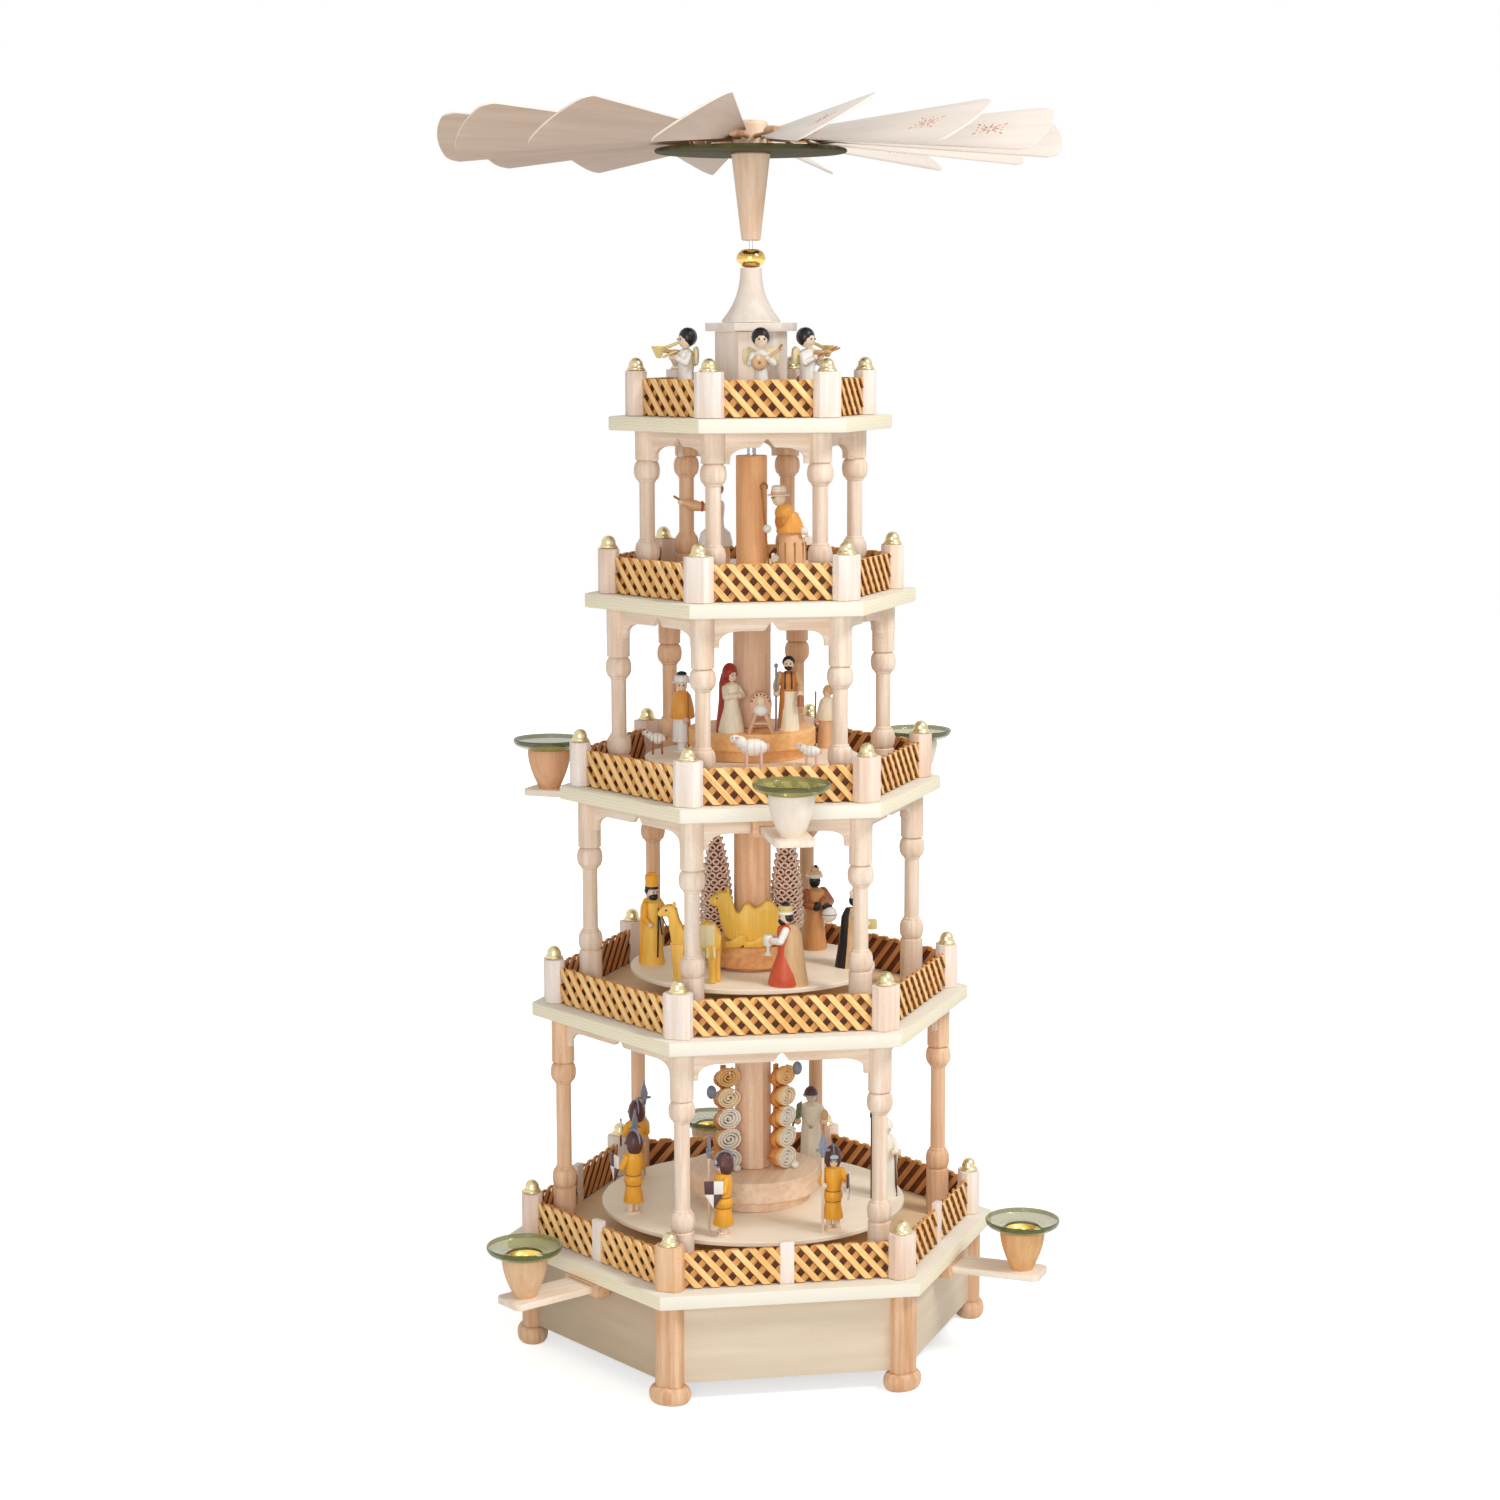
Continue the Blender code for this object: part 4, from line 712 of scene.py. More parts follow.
for level, radius in enumerate(stage_radii):
    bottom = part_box(f"riser_{level + 1}")[0].z
    top = bottom - running_gap + stage_lifts[level] + stage_thicknesses[level]
    under = top - stage_thicknesses[level]
    neck = stage_neck_radii[level]
    stage_tops.append(top)
    core = radius - stage_edge
    profile = [(shaft_bore, top), *rounded(top - stage_edge, stage_edge, stage_edge, 90, 0, 4, core=core),
               *rounded(under + stage_edge, stage_edge, stage_edge, 0, -90, 4, core=core), (neck, under),
               (neck, bottom), (shaft_bore, bottom), (shaft_bore, top)]
    stage = mark_grain(turned(f"stage_{level + 1}", profile, 72, stage_woods[level]), (0.4, 1, 0), level + 3)
    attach(stage, "rotor")
    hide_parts(f"riser_{level + 1}")

for level, radius in enumerate(sleeve_radii):
    low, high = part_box(f"sleeve_{level + 1}")
    profile = [(shaft_bore, high.z), (radius - sleeve_edge, high.z), (radius, high.z - sleeve_edge),
               (radius, low.z + sleeve_edge), (radius - sleeve_edge, low.z), (shaft_bore, low.z),
               (shaft_bore, high.z)]
    facets = 8 if level == 0 else 40
    sleeve = turned(f"wood_sleeve_{level + 1}", profile, facets, sleeve_woods[level])
    sleeve.data.transform(Matrix.Rotation(pi / 8, 4, "Z"))
    mark_grain(sleeve, (0, 0, 1), level + 7)
    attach(sleeve, "rotor")
    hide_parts(f"sleeve_{level + 1}")


# Wheel. A turned hub sits on the shaft's pin, with a dark stained plate on its shoulder. Fourteen thin
# plywood blades, printed on top with a sprig of petals and with their undersides painted darker as shade, are
# each glued into a slit holder on a stick, and the sticks are twisted in the hub's holes.
hub_foot_radius, hub_shoulder_radius, hub_head_radius = 0.00775, 0.0166, 0.0152
hub_head_height, hub_crown, hub_edge = 0.0275, 0.0045, 0.0008
plate_radius, plate_gap, plate_gloss = 0.082, 0.0005, 0.12
blade_count, first_bearing, blade_pitch = 14, -109.9, 30
paddle_rise = 0.0136
blade_tip, blade_root, blade_thickness = 0.2655, 0.055, 0.0018
blade_tip_width, blade_root_width = 0.073, 0.014
blade_crown, blade_corner, tip_steps = 0.008, 0.009, 24
holder_start, holder_end, holder_radius, stick_radius = 0.056, 0.085, 0.00575, 0.002
holder_chamfer, holder_waist, holder_foot, stick_depth = 0.001, 0.008, 0.004, 0.004

hub_low, hub_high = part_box("wheel_hub")
shoulder = hub_high.z - hub_head_height
hub_wood = wood("hub_wood", srgb(248, 221, 194), srgb(232, 194, 160), fleck_strength=0.4, streak_scale=160)
profile = [(0, hub_high.z), *rounded(hub_high.z - hub_crown, hub_crown, hub_crown, 90, 0, 6,
                                     core=hub_head_radius - hub_crown),
           (hub_head_radius, shoulder), (hub_shoulder_radius - hub_edge, shoulder),
           (hub_shoulder_radius, shoulder - hub_edge),
           (hub_foot_radius + hub_edge / 2, hub_low.z + hub_edge), (hub_foot_radius - hub_edge, hub_low.z),
           (0, hub_low.z)]
hub = mark_grain(turned("turned_hub", profile, 56, hub_wood), (0, 0, 1), 2.1)
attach(hub, "rotor")
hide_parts("wheel_hub")

plate_low, plate_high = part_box("heat_plate")
plate_wood = wood("plate_wood", srgb(92, 86, 54), srgb(58, 54, 32), streak_scale=120, roughness=0.75)
plate_wood.node_tree.nodes["Principled BSDF"].inputs["Specular IOR Level"].default_value = plate_gloss
bore = hub_head_radius + plate_gap
middle, half = (plate_low.z + plate_high.z) / 2, (plate_high.z - plate_low.z) / 2
profile = [(bore, plate_high.z), *rounded(middle, half, half, 90, -90, 6, core=plate_radius - half),
           (bore, plate_low.z), (bore, plate_high.z)]
plate = mark_grain(turned("dark_plate", profile, 96, plate_wood), (1, 0, 0))
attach(plate, "rotor")
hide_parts("heat_plate")

blade_wood = wood("blade_wood", srgb(246, 237, 227), srgb(236, 221, 206), fleck_strength=0.35,
                  streak_scale=110, contrast_share=0.9)
blade_underside_shade_wood = wood("blade_underside_shade", srgb(218, 197, 179), srgb(198, 170, 150), fleck_strength=0.35,
                       streak_scale=110, contrast_share=0.9)
holder_wood = wood("holder_wood", srgb(226, 182, 142), srgb(196, 142, 102), fleck_strength=0.5)
paddle_height = shoulder + paddle_rise


def blade_outline():
    """Straight edges that flare, and a slightly arched tip with broken corners."""
    tip = []
    for step in range(tip_steps + 1):
        share = cos(pi * step / tip_steps)
        reach = blade_tip - blade_crown * share ** 2 - blade_corner * share ** 14
        tip.append((reach, blade_tip_width / 2 * share))
    return [(blade_root, blade_root_width / 2), *tip, (blade_root, -blade_root_width / 2)]


half = blade_thickness / 2
blade = mark_grain(raised("blade", blade_outline(), -half, half, blade_wood, board_edge), (1, 0, 0))
blade.data.materials.append(blade_underside_shade_wood)
# Painted shade: the blade's underside takes the darker material.
for face in blade.data.polygons:
    if face.normal.z < -edge_share:
        face.material_index = 1
along_stick = Matrix.Rotation(pi / 2, 4, "Y")
stick_end = hub_head_radius - stick_depth
holder_profile = [(0, holder_end), (holder_radius * 0.55, holder_end),
                  (holder_radius * 0.7, holder_end - holder_chamfer),
                  (holder_radius, holder_start + holder_waist), (holder_radius, holder_start + holder_foot),
                  (holder_radius * 0.75, holder_start), (stick_radius, holder_start),
                  (stick_radius, stick_end), (0, stick_end)]
holder = mark_grain(turned("holder", holder_profile, 24, holder_wood), (0, 0, 1))
holder.data.transform(along_stick)
sprig_rings = ((8, 0.0050, 0.0026, 0.0010, 0), (10, 0.0098, 0.0010, 0.0008, 18),
               (4, 0.0142, 0.0022, 0.0009, 45))
sprig_centre, sprig_stretch, paint_depth = 0.214, (1.15, 0.8), 0.0002
sprig_paint = wood("sprig_paint", srgb(222, 160, 128), srgb(198, 130, 98), streak_scale=700)
petal = mark_grain(turned("petal", rounded(0, 1, 1, 90, -90, 4), 8, sprig_paint), (1, 0, 0))
parts = [blade, holder]
for count, reach, length, width, start in sprig_rings:
    for number in range(count):
        angle = radians(start) + 2 * pi * number / count
        spot = (sprig_centre + sprig_stretch[0] * reach * cos(angle), sprig_stretch[1] * reach * sin(angle),
                half)
        shape = Matrix.Rotation(angle, 4, "Z") @ Matrix.Diagonal((length, width, paint_depth, 1))
        parts.append(copied(petal, "petal", Matrix.Translation(spot) @ shape))
bpy.data.objects.remove(petal)
paddle = joined("paddle", parts)
pitch = Matrix.Rotation(radians(blade_pitch), 4, "X")
for number in range(blade_count):
    bearing = first_bearing - 360 / blade_count * number
    name = f"paddle_{number + 1:02d}"
    blade = copied(paddle, name + "_blade", bearing_frame(bearing, height=paddle_height) @ pitch,
                   0.31 * number)
    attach(blade, name)
    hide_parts(name)
bpy.data.objects.remove(paddle)


# Candle arms. A beech board slides in its loop under the deck, and carries a turned cup. A pressed brass
# socket sits in the cup, and on its lip lies a drip dish of olive-green glass.
low_cup_distance, high_cup_distance = 0.249, 0.195
board_overhang, board_corner, arm_edge, arm_gap = 0.019, 0.004, 0.0006, 0.001
cup_height, cup_rim_radius, cup_foot_radius = 0.035, 0.0195, 0.0092
mouth_radius, socket_radius, candle_radius, candle_depth, socket_lip = 0.0167, 0.0145, 0.011, 0.020, 0.0005
bowl_depth, ring_drop, sheet = 0.005, 0.0008, 0.0004
dish_radius, dish_hole_radius, dish_flat_radius = 0.032, 0.0147, 0.020
dish_rise, dish_thickness, dish_wall, dish_edge = 0.007, 0.002, 0.002, 0.0006
cup_rim_edge, rim_share = 0.0008, 0.97
cup_steps, bowl_steps, dish_steps = 14, 8, 10

cup_woods = (wood("tan_cup", srgb(235, 200, 160), srgb(212, 168, 126), fleck_strength=0.6, streak_scale=240,
                  contrast_share=0.9),
             wood("amber_cup", srgb(236, 190, 136), srgb(214, 156, 100), fleck_strength=0.6, streak_scale=240,
                  contrast_share=0.9),
             wood("brown_cup", srgb(238, 188, 146), srgb(210, 154, 112), fleck_strength=0.6, streak_scale=240,
                  contrast_share=0.9),
             wood("white_cup", srgb(246, 236, 224), srgb(234, 216, 196), fleck_strength=0.4, streak_scale=240,
                  contrast_share=0.9))
cup_tones = (0, 1, 0, 3, 3, 2)
arm_wood = wood("arm_wood", srgb(248, 236, 218), srgb(235, 213, 190), fleck_strength=0.5)
cup_mouth_shade = wood("cup_mouth_shade", srgb(104, 66, 34), srgb(68, 40, 20))
socket_brass = metal("socket_brass", srgb(250, 220, 120), 0.3)


def olive_glass(name, density, colour):
    """Pressed glass: thin and clear in the bowl, and denser where the rim is thick."""
    material = bpy.data.materials.new(name)
    material.use_nodes = True
    shader = material.node_tree.nodes["Principled BSDF"]
    shader.inputs["Base Color"].default_value = colour
    shader.inputs["Roughness"].default_value = 0.08
    shader.inputs["IOR"].default_value = 1.4
    shader.inputs["Alpha"].default_value = density
    return material


bowl_glass = olive_glass("bowl_glass", 0.5, srgb(168, 166, 98))
rim_glass = olive_glass("rim_glass", 0.82, srgb(80, 86, 40))


def cup_on_arm(reach):
    """Board, cup and socket, with the origin under the cup on the board's top."""
    half = board_width / 2
    tip = board_overhang
    plan = [(-reach, -half), (tip - board_corner, -half), (tip, board_corner - half),
            (tip, half - board_corner), (tip - board_corner, half), (-reach, half)]
    board = mark_grain(raised("board", plan, -board_thickness, 0, arm_wood, arm_edge), (1, 0, 0))
    hole = cup_height - candle_depth
    ring = cup_height - ring_drop
    swell = [(cup_foot_radius + (cup_rim_radius - cup_foot_radius) * sin(pi / 2 * share),
              cup_height * share ** 1.05)
             for share in [1 - step / cup_steps for step in range(cup_steps + 1)]]
    cup_profile = [(0, hole), (socket_radius, hole), (socket_radius, ring), (mouth_radius, ring),
                   (mouth_radius, cup_height), (cup_rim_radius - cup_rim_edge, cup_height), *swell[1:],
                   (0, 0)]
    cup = mark_grain(turned("cup", cup_profile, 48, cup_woods[0]), (0, 0, 1))
    # Painted shade: the step round the socket, inside the cup's mouth, takes a dark brown.
    cup.data.materials.append(cup_mouth_shade)
    for face in cup.data.polygons:
        if face.center.xy.length < mouth_radius and face.center.z > ring - sheet:
            face.material_index = 1
    lip = cup_height + socket_lip
    bowl = [(candle_radius + (socket_radius - candle_radius) * share ** 2, lip - bowl_depth * (1 - share))
            for share in [step / bowl_steps for step in range(bowl_steps + 1)]]
    outside = [(radius + sheet, height - sheet) for radius, height in reversed(bowl)]
    socket_profile = [(0, hole + sheet), (candle_radius, hole + sheet), *bowl, (socket_radius + sheet, lip),
                      *outside, (candle_radius + sheet, hole), (0, hole), (0, hole + sheet)]
    socket = turned("socket", socket_profile, 40, socket_brass)
    return board, cup, socket


def dish_curve(width, lift, steps):
    """Profile of a dish's slope, which steepens towards its rim."""
    angles = [pi / 2 * step / dish_steps for step in steps]
    return [(dish_flat_radius + width * sin(angle), lift + dish_rise * (1 - cos(angle))) for angle in angles]


slope = dish_radius - dish_flat_radius
dish_profile = [(dish_hole_radius, 0), (dish_flat_radius, 0), *dish_curve(slope, 0, range(1, dish_steps + 1)),
                (dish_radius, dish_rise + dish_thickness * 0.6),
                (dish_radius - dish_edge, dish_rise + dish_thickness),
                *dish_curve(slope - dish_wall, dish_thickness, range(dish_steps - 1, -1, -1)),
                (dish_hole_radius, dish_thickness), (dish_hole_radius, 0)]
dish = turned("dish", dish_profile, 64, bowl_glass)
dish.data.materials.append(rim_glass)
for face in dish.data.polygons:
    reach = face.center.xy.length
    if reach > dish_radius * rim_share or reach < dish_hole_radius + dish_thickness / 4:
        face.material_index = 1

arm_sets = ((low_arm_bearings, low_cup_distance, low_side_distance, deck_tops[0], low_board_drop),
            (high_arm_bearings, high_cup_distance, high_side_distance, deck_tops[2], high_board_drop))
number = 0
for bearings, cup_distance, side_distance, deck_top, board_drop in arm_sets:
    parts = cup_on_arm(cup_distance - side_distance - arm_gap)
    board_top = deck_top - deck_thickness - board_drop
    for bearing in bearings:
        number += 1
        place = bearing_frame(bearing, cup_distance, board_top)
        for part, part_name, slot_name in zip(parts, ("board", "cup", "socket"), ("beech", "beech", "brass")):
            piece = copied(part, f"arm_{number}_{part_name}", place, 0.43 * number)
            if part_name == "cup":
                piece.data.materials[0] = cup_woods[cup_tones[number - 1]]
            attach(piece, f"candle_arm_{number}")
            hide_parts(f"candle_arm_{number}")
        place = bearing_frame(bearing, cup_distance, board_top + cup_height + socket_lip + running_gap)
        piece = copied(dish, f"glass_dish_{number}", place)
        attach(piece, f"drip_dish_{number}")
        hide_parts(f"drip_dish_{number}")
    for part in parts:
        bpy.data.objects.remove(part)
bpy.data.objects.remove(dish)


# Figures. Small turned and carved figures, stained and painted, are glued to the discs, the stages and the
# top deck. Each is described by a table of its parts, in shares of its height; X is the way it faces and Y
# its left hand.
def stain(name, red, green, blue, roughness=0.4):
    """Thin coloured stain, through which the grain shows a little."""
    pale = srgb(red, green, blue)
    return wood(name, pale, [level * 0.84 for level in pale[:3]] + [1], roughness=roughness, streak_scale=520)


bare = stain("bare_wood", 245, 220, 192)
white = stain("white_paint", 250, 247, 240)
cream = stain("cream_paint", 254, 242, 214)
pale_cream = stain("pale_cream_paint", 255, 247, 228)
ink = stain("black_paint", 30, 27, 26, 0.3)
ochre = stain("ochre_stain", 250, 180, 58)
umber = stain("umber_stain", 176, 116, 44)
helmet_brown = stain("helmet_brown", 92, 56, 54, 0.35)
steel_paint = stain("steel_paint", 140, 146, 162, 0.35)
sky_paint = stain("sky_paint", 186, 206, 214)
moss = stain("moss_paint", 120, 132, 96)
dark_green = stain("dark_green_paint", 48, 60, 50)
camel_yellow = stain("camel_yellow", 255, 202, 88)
resting_yellow = stain("resting_yellow", 255, 208, 90)
saddle_yellow = stain("saddle_yellow", 255, 240, 188)
robe_red = stain("robe_red", 216, 92, 58)
cape_tan = stain("cape_tan", 222, 182, 134)
robe_tan = stain("robe_tan", 238, 188, 142)
gold_paint = stain("gold_paint", 232, 206, 134, 0.3)
wing_gold = stain("wing_gold", 240, 222, 172, 0.3)
rose = stain("rose_paint", 232, 188, 170)
crib_tan = stain("crib_tan", 230, 184, 150)
copper_paint = stain("copper_paint", 180, 108, 66, 0.3)
veil_red = stain("veil_red", 168, 54, 34)
tunic_orange = stain("tunic_orange", 214, 136, 62)
cape_orange = stain("cape_orange", 242, 170, 76)
leg_brown = stain("leg_brown", 214, 148, 90)
king_brown = stain("king_brown", 226, 164, 104)
ring_rose = stain("ring_rose", 255, 226, 206)
scroll_pale = stain("scroll_pale", 255, 250, 236)
scroll_yellow = stain("scroll_yellow", 255, 234, 192)
scroll_rim = stain("scroll_rim", 246, 194, 126)
core_orange = stain("core_orange", 224, 144, 74)
core_brown = stain("core_brown", 128, 62, 44)


def aimed(start, end):
    """A place at the start, its Z pointing to the end."""
    turn = Vector((0, 0, 1)).rotation_difference(Vector(end) - Vector(start))
    return Matrix.Translation(start) @ turn.to_matrix().to_4x4()


def egg(material, place, reach, start=90, end=-90, steps=8, facets=14):
    """A ball stretched by its reach along X, Y and Z; a later start or earlier end leaves a flat face."""
    profile = rounded(0, 1, 1, start, end, steps)
    if start < 90:
        profile = [(0, sin(radians(start))), *profile]
    if end > -90:
        profile = [*profile, (0, sin(radians(end)))]
    piece = turned("egg", profile, facets, material)
    piece.data.transform(Matrix.Translation(place) @ Matrix.Diagonal((*reach, 1)))
    return mark_grain(piece, (0, 0, 1))


def made(kind, material, height, shares):
    """One part of a figure, from its row in the figure's table."""
    scale = Matrix.Scale(height, 4)
    if kind in ("egg", "dome"):
        centre, reach = shares
        place = [share * height for share in centre]
        return egg(material, place, [share * height for share in reach], end=0 if kind == "dome" else -90)
    if kind == "spun":
        foot, profile, *stretch = shares
        piece = turned("spun", profile, 20, material)
        place = Matrix.Translation([share * height for share in foot]) @ scale
        if stretch:
            place = place @ Matrix.Diagonal((*stretch[0], 1, 1))
    elif kind == "limb":
        start, end, thick, thin = shares
        length = (Vector(end) - Vector(start)).length
        profile = [*rounded(length, thin, thin, 90, 0, 3), *rounded(0, thick, thick, 0, -90, 3)]
        piece = turned("limb", profile, 10, material)
        place = scale @ aimed(start, end)
    else:
        foot, turn, thickness, outline = shares
        piece = upright("cut", outline, thickness, material, thickness / 5)
        turned_round = Matrix.Rotation(radians(turn), 4, "Z")
        place = Matrix.Translation([share * height for share in foot]) @ turned_round @ scale
    piece.data.transform(place)
    return mark_grain(piece, (0, 0, 1))


def stand(name, height, rows, level_top, places, body, node_name):
    """Glues a figure together and stands it at each place: bearing, distance, and the bearing it faces."""
    figure = joined(name, [made(kind, material, height, shares) for kind, material, *shares in rows])
    for number, (bearing, distance, facing) in enumerate(places):
        spot = (distance * cos(radians(bearing)), distance * sin(radians(bearing)), level_top)
        place = Matrix.Translation(spot) @ Matrix.Rotation(radians(facing), 4, "Z")
        label = f"{name}_{number + 1}" if len(places) > 1 else name
        figure_copy = copied(figure, label + "_figure", place, 0.17 * (number + 1))
        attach(figure_copy, body)
        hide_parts(node_name)
    bpy.data.objects.remove(figure)


def face_shares(height, reach, material=None):
    """A plain round face, turned like a bead, with two dots for eyes."""
    side, front = reach * 0.36, reach * 0.93
    return (("egg", material or bare, (0, 0, height), (reach * 0.96, reach * 0.92, reach * 1.08)),
            ("egg", ink, (front, side, height + reach * 0.12), (reach * 0.07, reach * 0.12, reach * 0.14)),
            ("egg", ink, (front, -side, height + reach * 0.12), (reach * 0.07, reach * 0.12, reach * 0.14)),
            ("egg", material or bare, (reach * 0.98, 0, height - reach * 0.1),
             (reach * 0.12, reach * 0.12, reach * 0.14)))


def arms_shares(sleeve, shoulder, elbow, hand, thickness, skin=None):
    """Two bent arms with round hands, the same on both sides."""
    rows = []
    for side in (-1, 1):
        points = [(x, side * y, z) for x, y, z in (shoulder, elbow, hand)]
        rows += [("limb", sleeve, points[0], points[1], thickness, thickness * 0.95),
                 ("limb", sleeve, points[1], points[2], thickness * 0.95, thickness * 0.8),
                 ("egg", skin or bare, points[2], (thickness * 0.95,) * 3)]
    return tuple(rows)


def robe_shares(hem, waist, chest, top):
    """Profile of a long robe, from the neck down."""
    return ((0, top), (chest * 0.42, top - 0.01), (chest * 0.9, top - 0.045), (chest, top - 0.10),
            (waist, top - 0.26), (waist * 1.1, top - 0.36), (hem * 0.86, 0.16), (hem, 0.03), (hem * 0.97, 0),
            (0, 0))


# Guards of the first disc. Ochre tunics with a belt, brown helmets with a crest, spears with painted blades,
# and kite shields in four quarters of dark and white.
guard_height = 0.076
guard_shares = (
    ("spun", bare, (0, 0, 0), ((0, 0.03), (0.085, 0.028), (0.095, 0.015), (0.092, 0), (0, 0))),
    ("limb", bare, (0, 0.044, 0.04), (0, 0.044, 0.18), 0.036, 0.038),
    ("limb", bare, (0, -0.044, 0.04), (0, -0.044, 0.18), 0.036, 0.038),
    ("egg", bare, (0.022, 0.044, 0.045), (0.052, 0.034, 0.028)),
    ("egg", bare, (0.022, -0.044, 0.045), (0.052, 0.034, 0.028)),
    ("spun", ochre, (0, 0, 0), ((0, 0.34), (0.088, 0.34), (0.098, 0.26), (0.118, 0.15), (0.114, 0.135),
                                (0, 0.14))),
    ("spun", umber, (0, 0, 0), ((0, 0.35), (0.095, 0.348), (0.095, 0.332), (0, 0.33))),
    ("spun", ochre, (0, 0, 0), ((0, 0.456), (0.09, 0.454), (0.109, 0.42), (0.110, 0.385), (0.095, 0.345),
                                (0, 0.345))),
    ("spun", umber, (0, 0, 0), ((0, 0.466), (0.092, 0.464), (0.092, 0.448), (0, 0.446))),
    ("spun", ochre, (0, 0, 0), ((0, 0.745), (0.04, 0.742), (0.084, 0.722), (0.104, 0.67), (0.104, 0.58),
                                (0.088, 0.462), (0, 0.46))),
    *arms_shares(ochre, (0, 0.10, 0.68), (0.03, 0.142, 0.56), (0.115, 0.115, 0.54), 0.038),
    *face_shares(0.795, 0.070),
    ("egg", helmet_brown, (-0.03, 0, 0.83), (0.092, 0.104, 0.145)),
    ("spun", helmet_brown, (-0.004, 0, 0.83), ((0, 0.15), (0.05, 0.135), (0.085, 0.08), (0.098, 0.02),
                                               (0.108, 0), (0.09, -0.006), (0, 0))),
    ("egg", steel_paint, (-0.02, 0, 0.88), (0.112, 0.017, 0.125)),
    ("egg", sky_paint, (0.088, 0, 0.86), (0.014, 0.05, 0.03)),
    ("limb", bare, (0.125, -0.135, 0.0), (0.125, -0.135, 0.94), 0.016, 0.016),
    ("limb", steel_paint, (0.125, -0.135, 0.89), (0.125, -0.135, 0.95), 0.022, 0.034),
    ("limb", steel_paint, (0.125, -0.205, 0.96), (0.125, -0.065, 0.96), 0.016, 0.016),
    ("cut", steel_paint, (0.125, -0.135, 0), 0, 0.022, ((0, 1.18), (-0.046, 1.02), (-0.04, 0.96),
                                                        (0.04, 0.96), (0.046, 1.02))),
    ("cut", helmet_brown, (0.155, 0.15, 0.37), 75, 0.022, ((-0.110, 0.32), (0, 0.32), (0, 0.17),
                                                           (-0.102, 0.17))),
    ("cut", white, (0.155, 0.15, 0.37), 75, 0.022, ((0, 0.32), (0.110, 0.32), (0.102, 0.17), (0, 0.17))),
    ("cut", white, (0.155, 0.15, 0.37), 75, 0.022, ((-0.102, 0.17), (0, 0.17), (0, 0))),
    ("cut", helmet_brown, (0.155, 0.15, 0.37), 75, 0.022, ((0, 0.17), (0.102, 0.17), (0, 0))))
guard_places = ((-164.2, 0.116, 124), (-111.8, 0.119, -172), (-64.1, 0.119, -92), (143.9, 0.119, 98))
stand("guard", guard_height, guard_shares, disc_tops[0], guard_places, "rotor", "turntable_1")


# Elder and watchman of the first disc. The elder has a cream robe, a dark cap with a pale band, an axe and a
# staff; the watchman has a pale coat under a long dark cloak, and a dark pole.
elder_height = 0.072
elder_shares = (
    ("spun", pale_cream, (0, 0, 0), robe_shares(0.155, 0.115, 0.14, 0.80)),
    *arms_shares(pale_cream, (0, 0.12, 0.72), (0.04, 0.185, 0.58), (0.13, 0.17, 0.57), 0.048),
    *arms_shares(pale_cream, (0.05, 0.05, 0.66), (0.10, 0.03, 0.54), (0.125, 0.0, 0.50), 0.034, pale_cream),
    *face_shares(0.865, 0.074),
    ("dome", helmet_brown, (-0.010, 0, 0.885), (0.096, 0.094, 0.115)),
    ("spun", sky_paint, (-0.010, 0, 0.872), ((0.06, 0.024), (0.102, 0.020), (0.104, 0), (0.06, -0.002),
                                             (0.06, 0.024))),
    ("limb", leg_brown, (0.15, 0.165, 0.10), (0.15, 0.165, 0.72), 0.014, 0.014),
    ("egg", cape_tan, (0.15, 0.175, 0.66), (0.04, 0.05, 0.075)),
    ("limb", moss, (0.13, -0.25, 0.46), (0.14, -0.17, 0.72), 0.016, 0.014),
    ("cut", moss, (0.14, -0.15, 0.62), 12, 0.018, ((-0.055, -0.02), (0.02, 0.0), (0.035, 0.22),
                                                   (-0.035, 0.18))))
stand("elder", elder_height, elder_shares, disc_tops[0], ((54.2, 0.1215, -100),), "rotor", "turntable_1")

watchman_shares = (
    ("spun", pale_cream, (0, 0, 0), robe_shares(0.13, 0.095, 0.11, 0.80)),
    ("spun", helmet_brown, (-0.05, 0, 0), ((0, 0.79), (0.06, 0.77), (0.10, 0.68), (0.11, 0.35), (0.13, 0),
                                           (0, 0)), (0.8, 1)),
    *arms_shares(pale_cream, (0, 0.10, 0.72), (0.04, 0.14, 0.60), (0.12, 0.12, 0.60), 0.040),
    *face_shares(0.865, 0.072),
    ("dome", white, (-0.008, 0, 0.885), (0.092, 0.09, 0.11)),
    ("limb", dark_green, (0.14, -0.14, 0.0), (0.14, -0.14, 1.06), 0.018, 0.018),
    ("egg", dark_green, (0.14, -0.14, 1.06), (0.03, 0.03, 0.055)))
stand("watchman", elder_height, watchman_shares, disc_tops[0], ((-10.2, 0.119, -120),), "rotor",
      "turntable_1")


# Scroll trees of the first stage. Thick shavings of lime, rolled up and glued one above the other in two
# layers on a thin stained core, with a white ball at the foot and a grey one that differs from tree to tree.
scroll_tree_height = 0.100
scroll_radius, scroll_width, scroll_turns, scroll_steps = 0.0130, 0.0062, 3.6, 54
scroll_pitch, scroll_squash, scroll_taper, shaving_thickness = 0.0188, 0.80, 0.03, 0.0021
scroll_core_share, scroll_ball_radius, scroll_ball_spot = 0.86, 0.0034, (0.0065, 0.006, 0.0034)
scroll_sink, scroll_sway, grey_ball_reach = 0.003, 0.001, (0.0045, 0.0045, 0.0062)
core_half, core_depth, core_drop, core_edge = 0.0025, 0.003, 0.006, 0.0006
scroll_tones = (scroll_pale, scroll_pale, scroll_pale, scroll_yellow, scroll_rim)
scroll_tree_places = ((-150.3, 0.0285, -76, (0.002, -0.0165, 0.074)),
                      (-29.5, 0.0305, -50, (0.004, 0.012, 0.090)))


